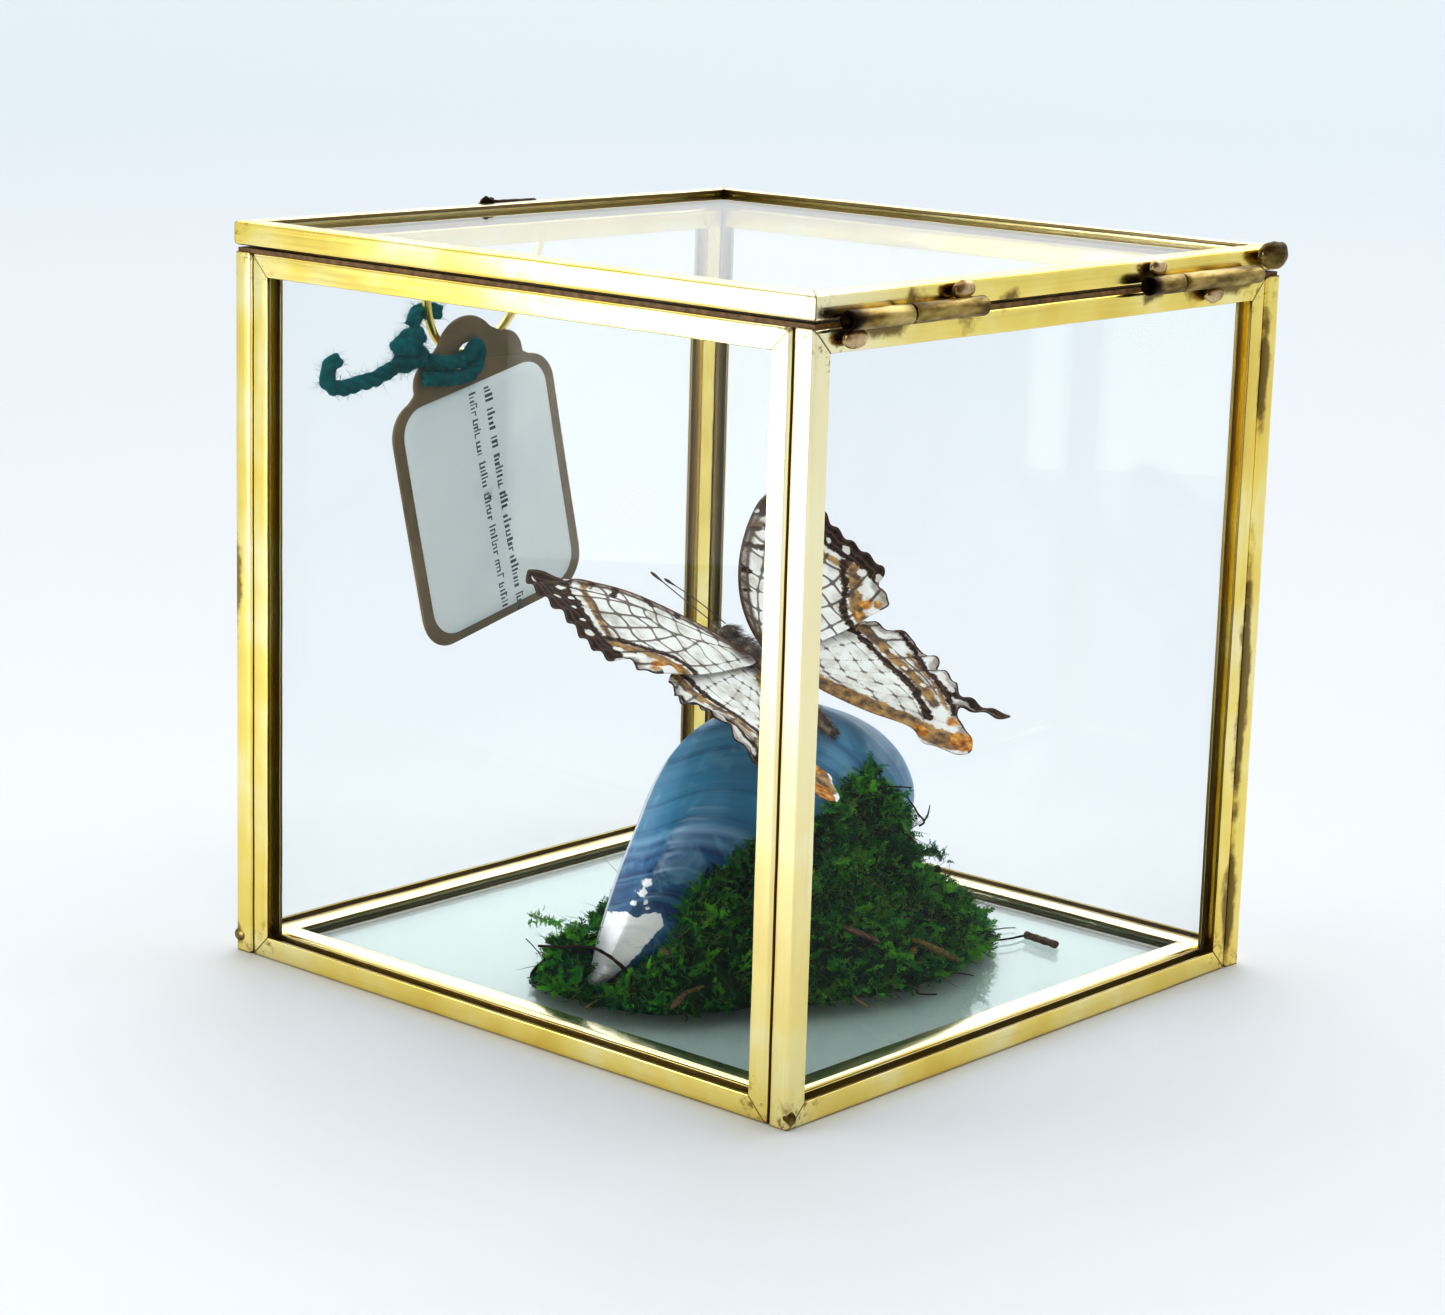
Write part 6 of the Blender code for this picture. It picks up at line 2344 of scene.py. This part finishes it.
def make_wing(name, material):
    """A thin wing with raised veins and the distances that its markings are drawn from."""
    fore = "fore" in name
    outline = smooth_route(FOREWING_OUTLINE if fore else HINDWING_OUTLINE, 8, closed=True)
    flat, faces, rim = fill_outline(outline, WING_GRID)
    marks = wing_marks(flat, outline, fore)
    root, outwards, forwards, face = wing_axes(name)
    wave = wing_wave(name, flat, marks["edge"])[:, None]
    middle = root + flat[:, :1] * outwards + flat[:, 1:] * forwards + wave * face
    half = (WING_THICK / 2 + 0.05 * np.clip(1 - marks["net"] / 0.22, 0, 1))[:, None]
    points = np.vstack([middle + half * face, middle - half * face])
    count = len(flat)
    sides = np.column_stack([rim[:, 0], rim[:, 1], rim[:, 1] + count, rim[:, 0] + count])
    faces = np.vstack([faces, faces[:, ::-1] + count, sides])
    wing = make_piece(f"{name}_scales", points, faces, material, "box", [name])
    for layer, values in marks.items():
        set_values(wing, layer, np.tile(values, 2))


HAIR_COUNT = 2600
HAIR_RADIUS = 0.03
BODY_SIDES = 28
BODY_DROP = 1.0
BODY_HEIGHT_RATIO = 1.05
EYE_OUT = 1.05
EYE_ALONG = 5.75
EYE_RISE = 0.25
EYE_RADII = (0.75, 0.75, 0.85)
BODY_RINGS = (
    (6.9, 0.5),
    (6.5, 1.1),
    (5.7, 1.5),
    (4.9, 1.4),
    (4.3, 0.9),
    (3.9, 1.1),
    (3.0, 1.7),
    (1.2, 2.0),
    (-1.0, 1.95),
    (-2.8, 1.6),
    (-3.8, 1.0),
    (-4.8, 1.2),
    (-6.5, 1.45),
    (-9.0, 1.45),
    (-11.5, 1.25),
    (-13.8, 0.95),
    (-15.4, 0.6),
    (-16.2, 0.3),
)
LEG_ROUTES = (
    ((1.0, 2.2, -2.4), (3.0, 2.6, -2.7), (4.3, 0.6, -5.4)),
    ((1.0, -0.6, -2.4), (2.8, -1.6, -2.4), (4.0, -3.0, -4.9)),
)
FEELER_RADIUS = 0.075
# The club at a feeler's end
FEELER_CLUB = (0.11, 0.17, 0.21, 0.22, 0.18, 0.08)
ANTENNA_ROUTES = {
    "left_antenna": ((-4.6, -1.1, 46.2), (-9.2, -2.6, 49.2), (-14.2, -4.4, 52.7)),
    "right_antenna": ((-4.7, 0.6, 46.3), (-10.4, 1.0, 48.6), (-16.8, 1.3, 50.6)),
}


def fly_place(out, along, rise):
    """A point given from the wing roots in the insect's own directions."""
    ahead, left, up = fly_axes()
    return FLY_BASE + left * out + ahead * along + up * rise


def hair_material():
    """Dark brown hair with paler patches."""
    shader = Shader("insect_hair")
    patches = shader.noise(1.2, 3)
    colour = shader.ramp(
        patches,
        (0.35, (0.030, 0.016, 0.010)),
        (0.55, (0.10, 0.062, 0.038)),
        (0.7, (0.30, 0.24, 0.18)),
    )
    shader.set(Base_Color=colour, Roughness=0.75, Sheen_Weight=0.3)
    return shader.material


def make_fly_body():
    """Head, thorax, ringed abdomen and legs in one mesh, with a coat of hairs."""
    ahead, left, up = fly_axes()
    spine = smooth_route(BODY_RINGS, 6)
    rings, outs = [], []
    for along, radius in spine:
        # The abdomen's rings stand out a little
        ringed = 1 + (0.05 * sin(along * 3.6) if along < -4.0 else 0.0)
        ring = []
        for turn in np.arange(BODY_SIDES) * 2 * pi / BODY_SIDES:
            way = left * cos(turn) + up * sin(turn) * BODY_HEIGHT_RATIO
            bulge = 1 + 0.05 * noise.noise((along, cos(turn) * 2, sin(turn) * 2))
            ring.append(fly_place(0, along, -BODY_DROP) + way * radius * ringed * bulge)
            outs.append(way)
        rings.append(ring)
    points = np.array(rings).reshape(-1, 3)
    meshes = [(points, ring_faces(len(spine), BODY_SIDES))]
    for side in (1, -1):
        eye = fly_place(side * EYE_OUT, EYE_ALONG, EYE_RISE - BODY_DROP)
        meshes.append(lump(eye, EYE_RADII, 1.0, 0.02, 12, 18))
        for route in LEG_ROUTES:
            leg = [fly_place(out * side, along, rise) for out, along, rise in route]
            leg = smooth_route(leg, 8)
            meshes.append(tube(leg, np.linspace(0.26, 0.12, len(leg)), 9, 0.08))
        palp = [fly_place(side * out, along, rise) for out, along, rise in PALP_ROUTE]
        meshes.append(tube(smooth_route(palp, 4), np.linspace(0.32, 0.1, 9), 8, 0.1))
    body_points, faces, _ = join_meshes(meshes)
    hair = hair_material()
    make_piece("fly_body_skin", body_points, faces, hair, "box", ["butterfly_body"])
    picks = RANDOM.integers(0, len(points), HAIR_COUNT)
    runs = np.repeat(spine[:, 0], BODY_SIDES)[picks]
    out_ways = unit_rows(np.array(outs)[picks])
    stray = RANDOM.normal(0, 0.25, (HAIR_COUNT, 3))
    ways = unit_rows(out_ways + stray - ahead * RANDOM.uniform(0.3, 1.1, (HAIR_COUNT, 1)))
    long, short = RANDOM.uniform(0.6, 1.5, HAIR_COUNT), RANDOM.uniform(0.25, 0.6, HAIR_COUNT)
    # The thorax and head are furry and the abdomen is nearly bare
    lengths = np.where(runs > -3.4, long, short)
    bends = -ahead * RANDOM.uniform(0.0, 0.6, (HAIR_COUNT, 1))
    hairs, hair_faces = fibre_mesh(points[picks], ways, lengths, bends, HAIR_RADIUS)
    make_piece("fly_body_hairs", hairs, hair_faces, hair, "box", smooth=False)


def make_antennae():
    shader = Shader("dark_feeler")
    colour = shader.ramp(shader.noise(0.5), (0.3, (0.01, 0.008, 0.007)), (0.7, (0.07, 0.05, 0.04)))
    shader.set(Base_Color=colour, Roughness=0.5)
    for name, route in ANTENNA_ROUTES.items():
        curve = smooth_route(route, 14)
        radii = np.full(len(curve), FEELER_RADIUS)
        radii[-len(FEELER_CLUB) :] = FEELER_CLUB
        points, faces = tube(curve, radii, 10)
        make_piece(f"{name}_feeler", points, faces, shader.material, "box", [name])


def make_butterfly():
    wings = wing_material()
    for name in WING_POSES:
        make_wing(name, wings)
    make_fly_body()
    make_antennae()


make_studio()
BRASS = make_case()
make_hinges()
make_gap_shadow_strip()
make_bail(BRASS)
make_tag()
make_yarn()
make_shell()
MOSS_GREEN = make_moss()
make_twigs(MOSS_GREEN)
make_butterfly()
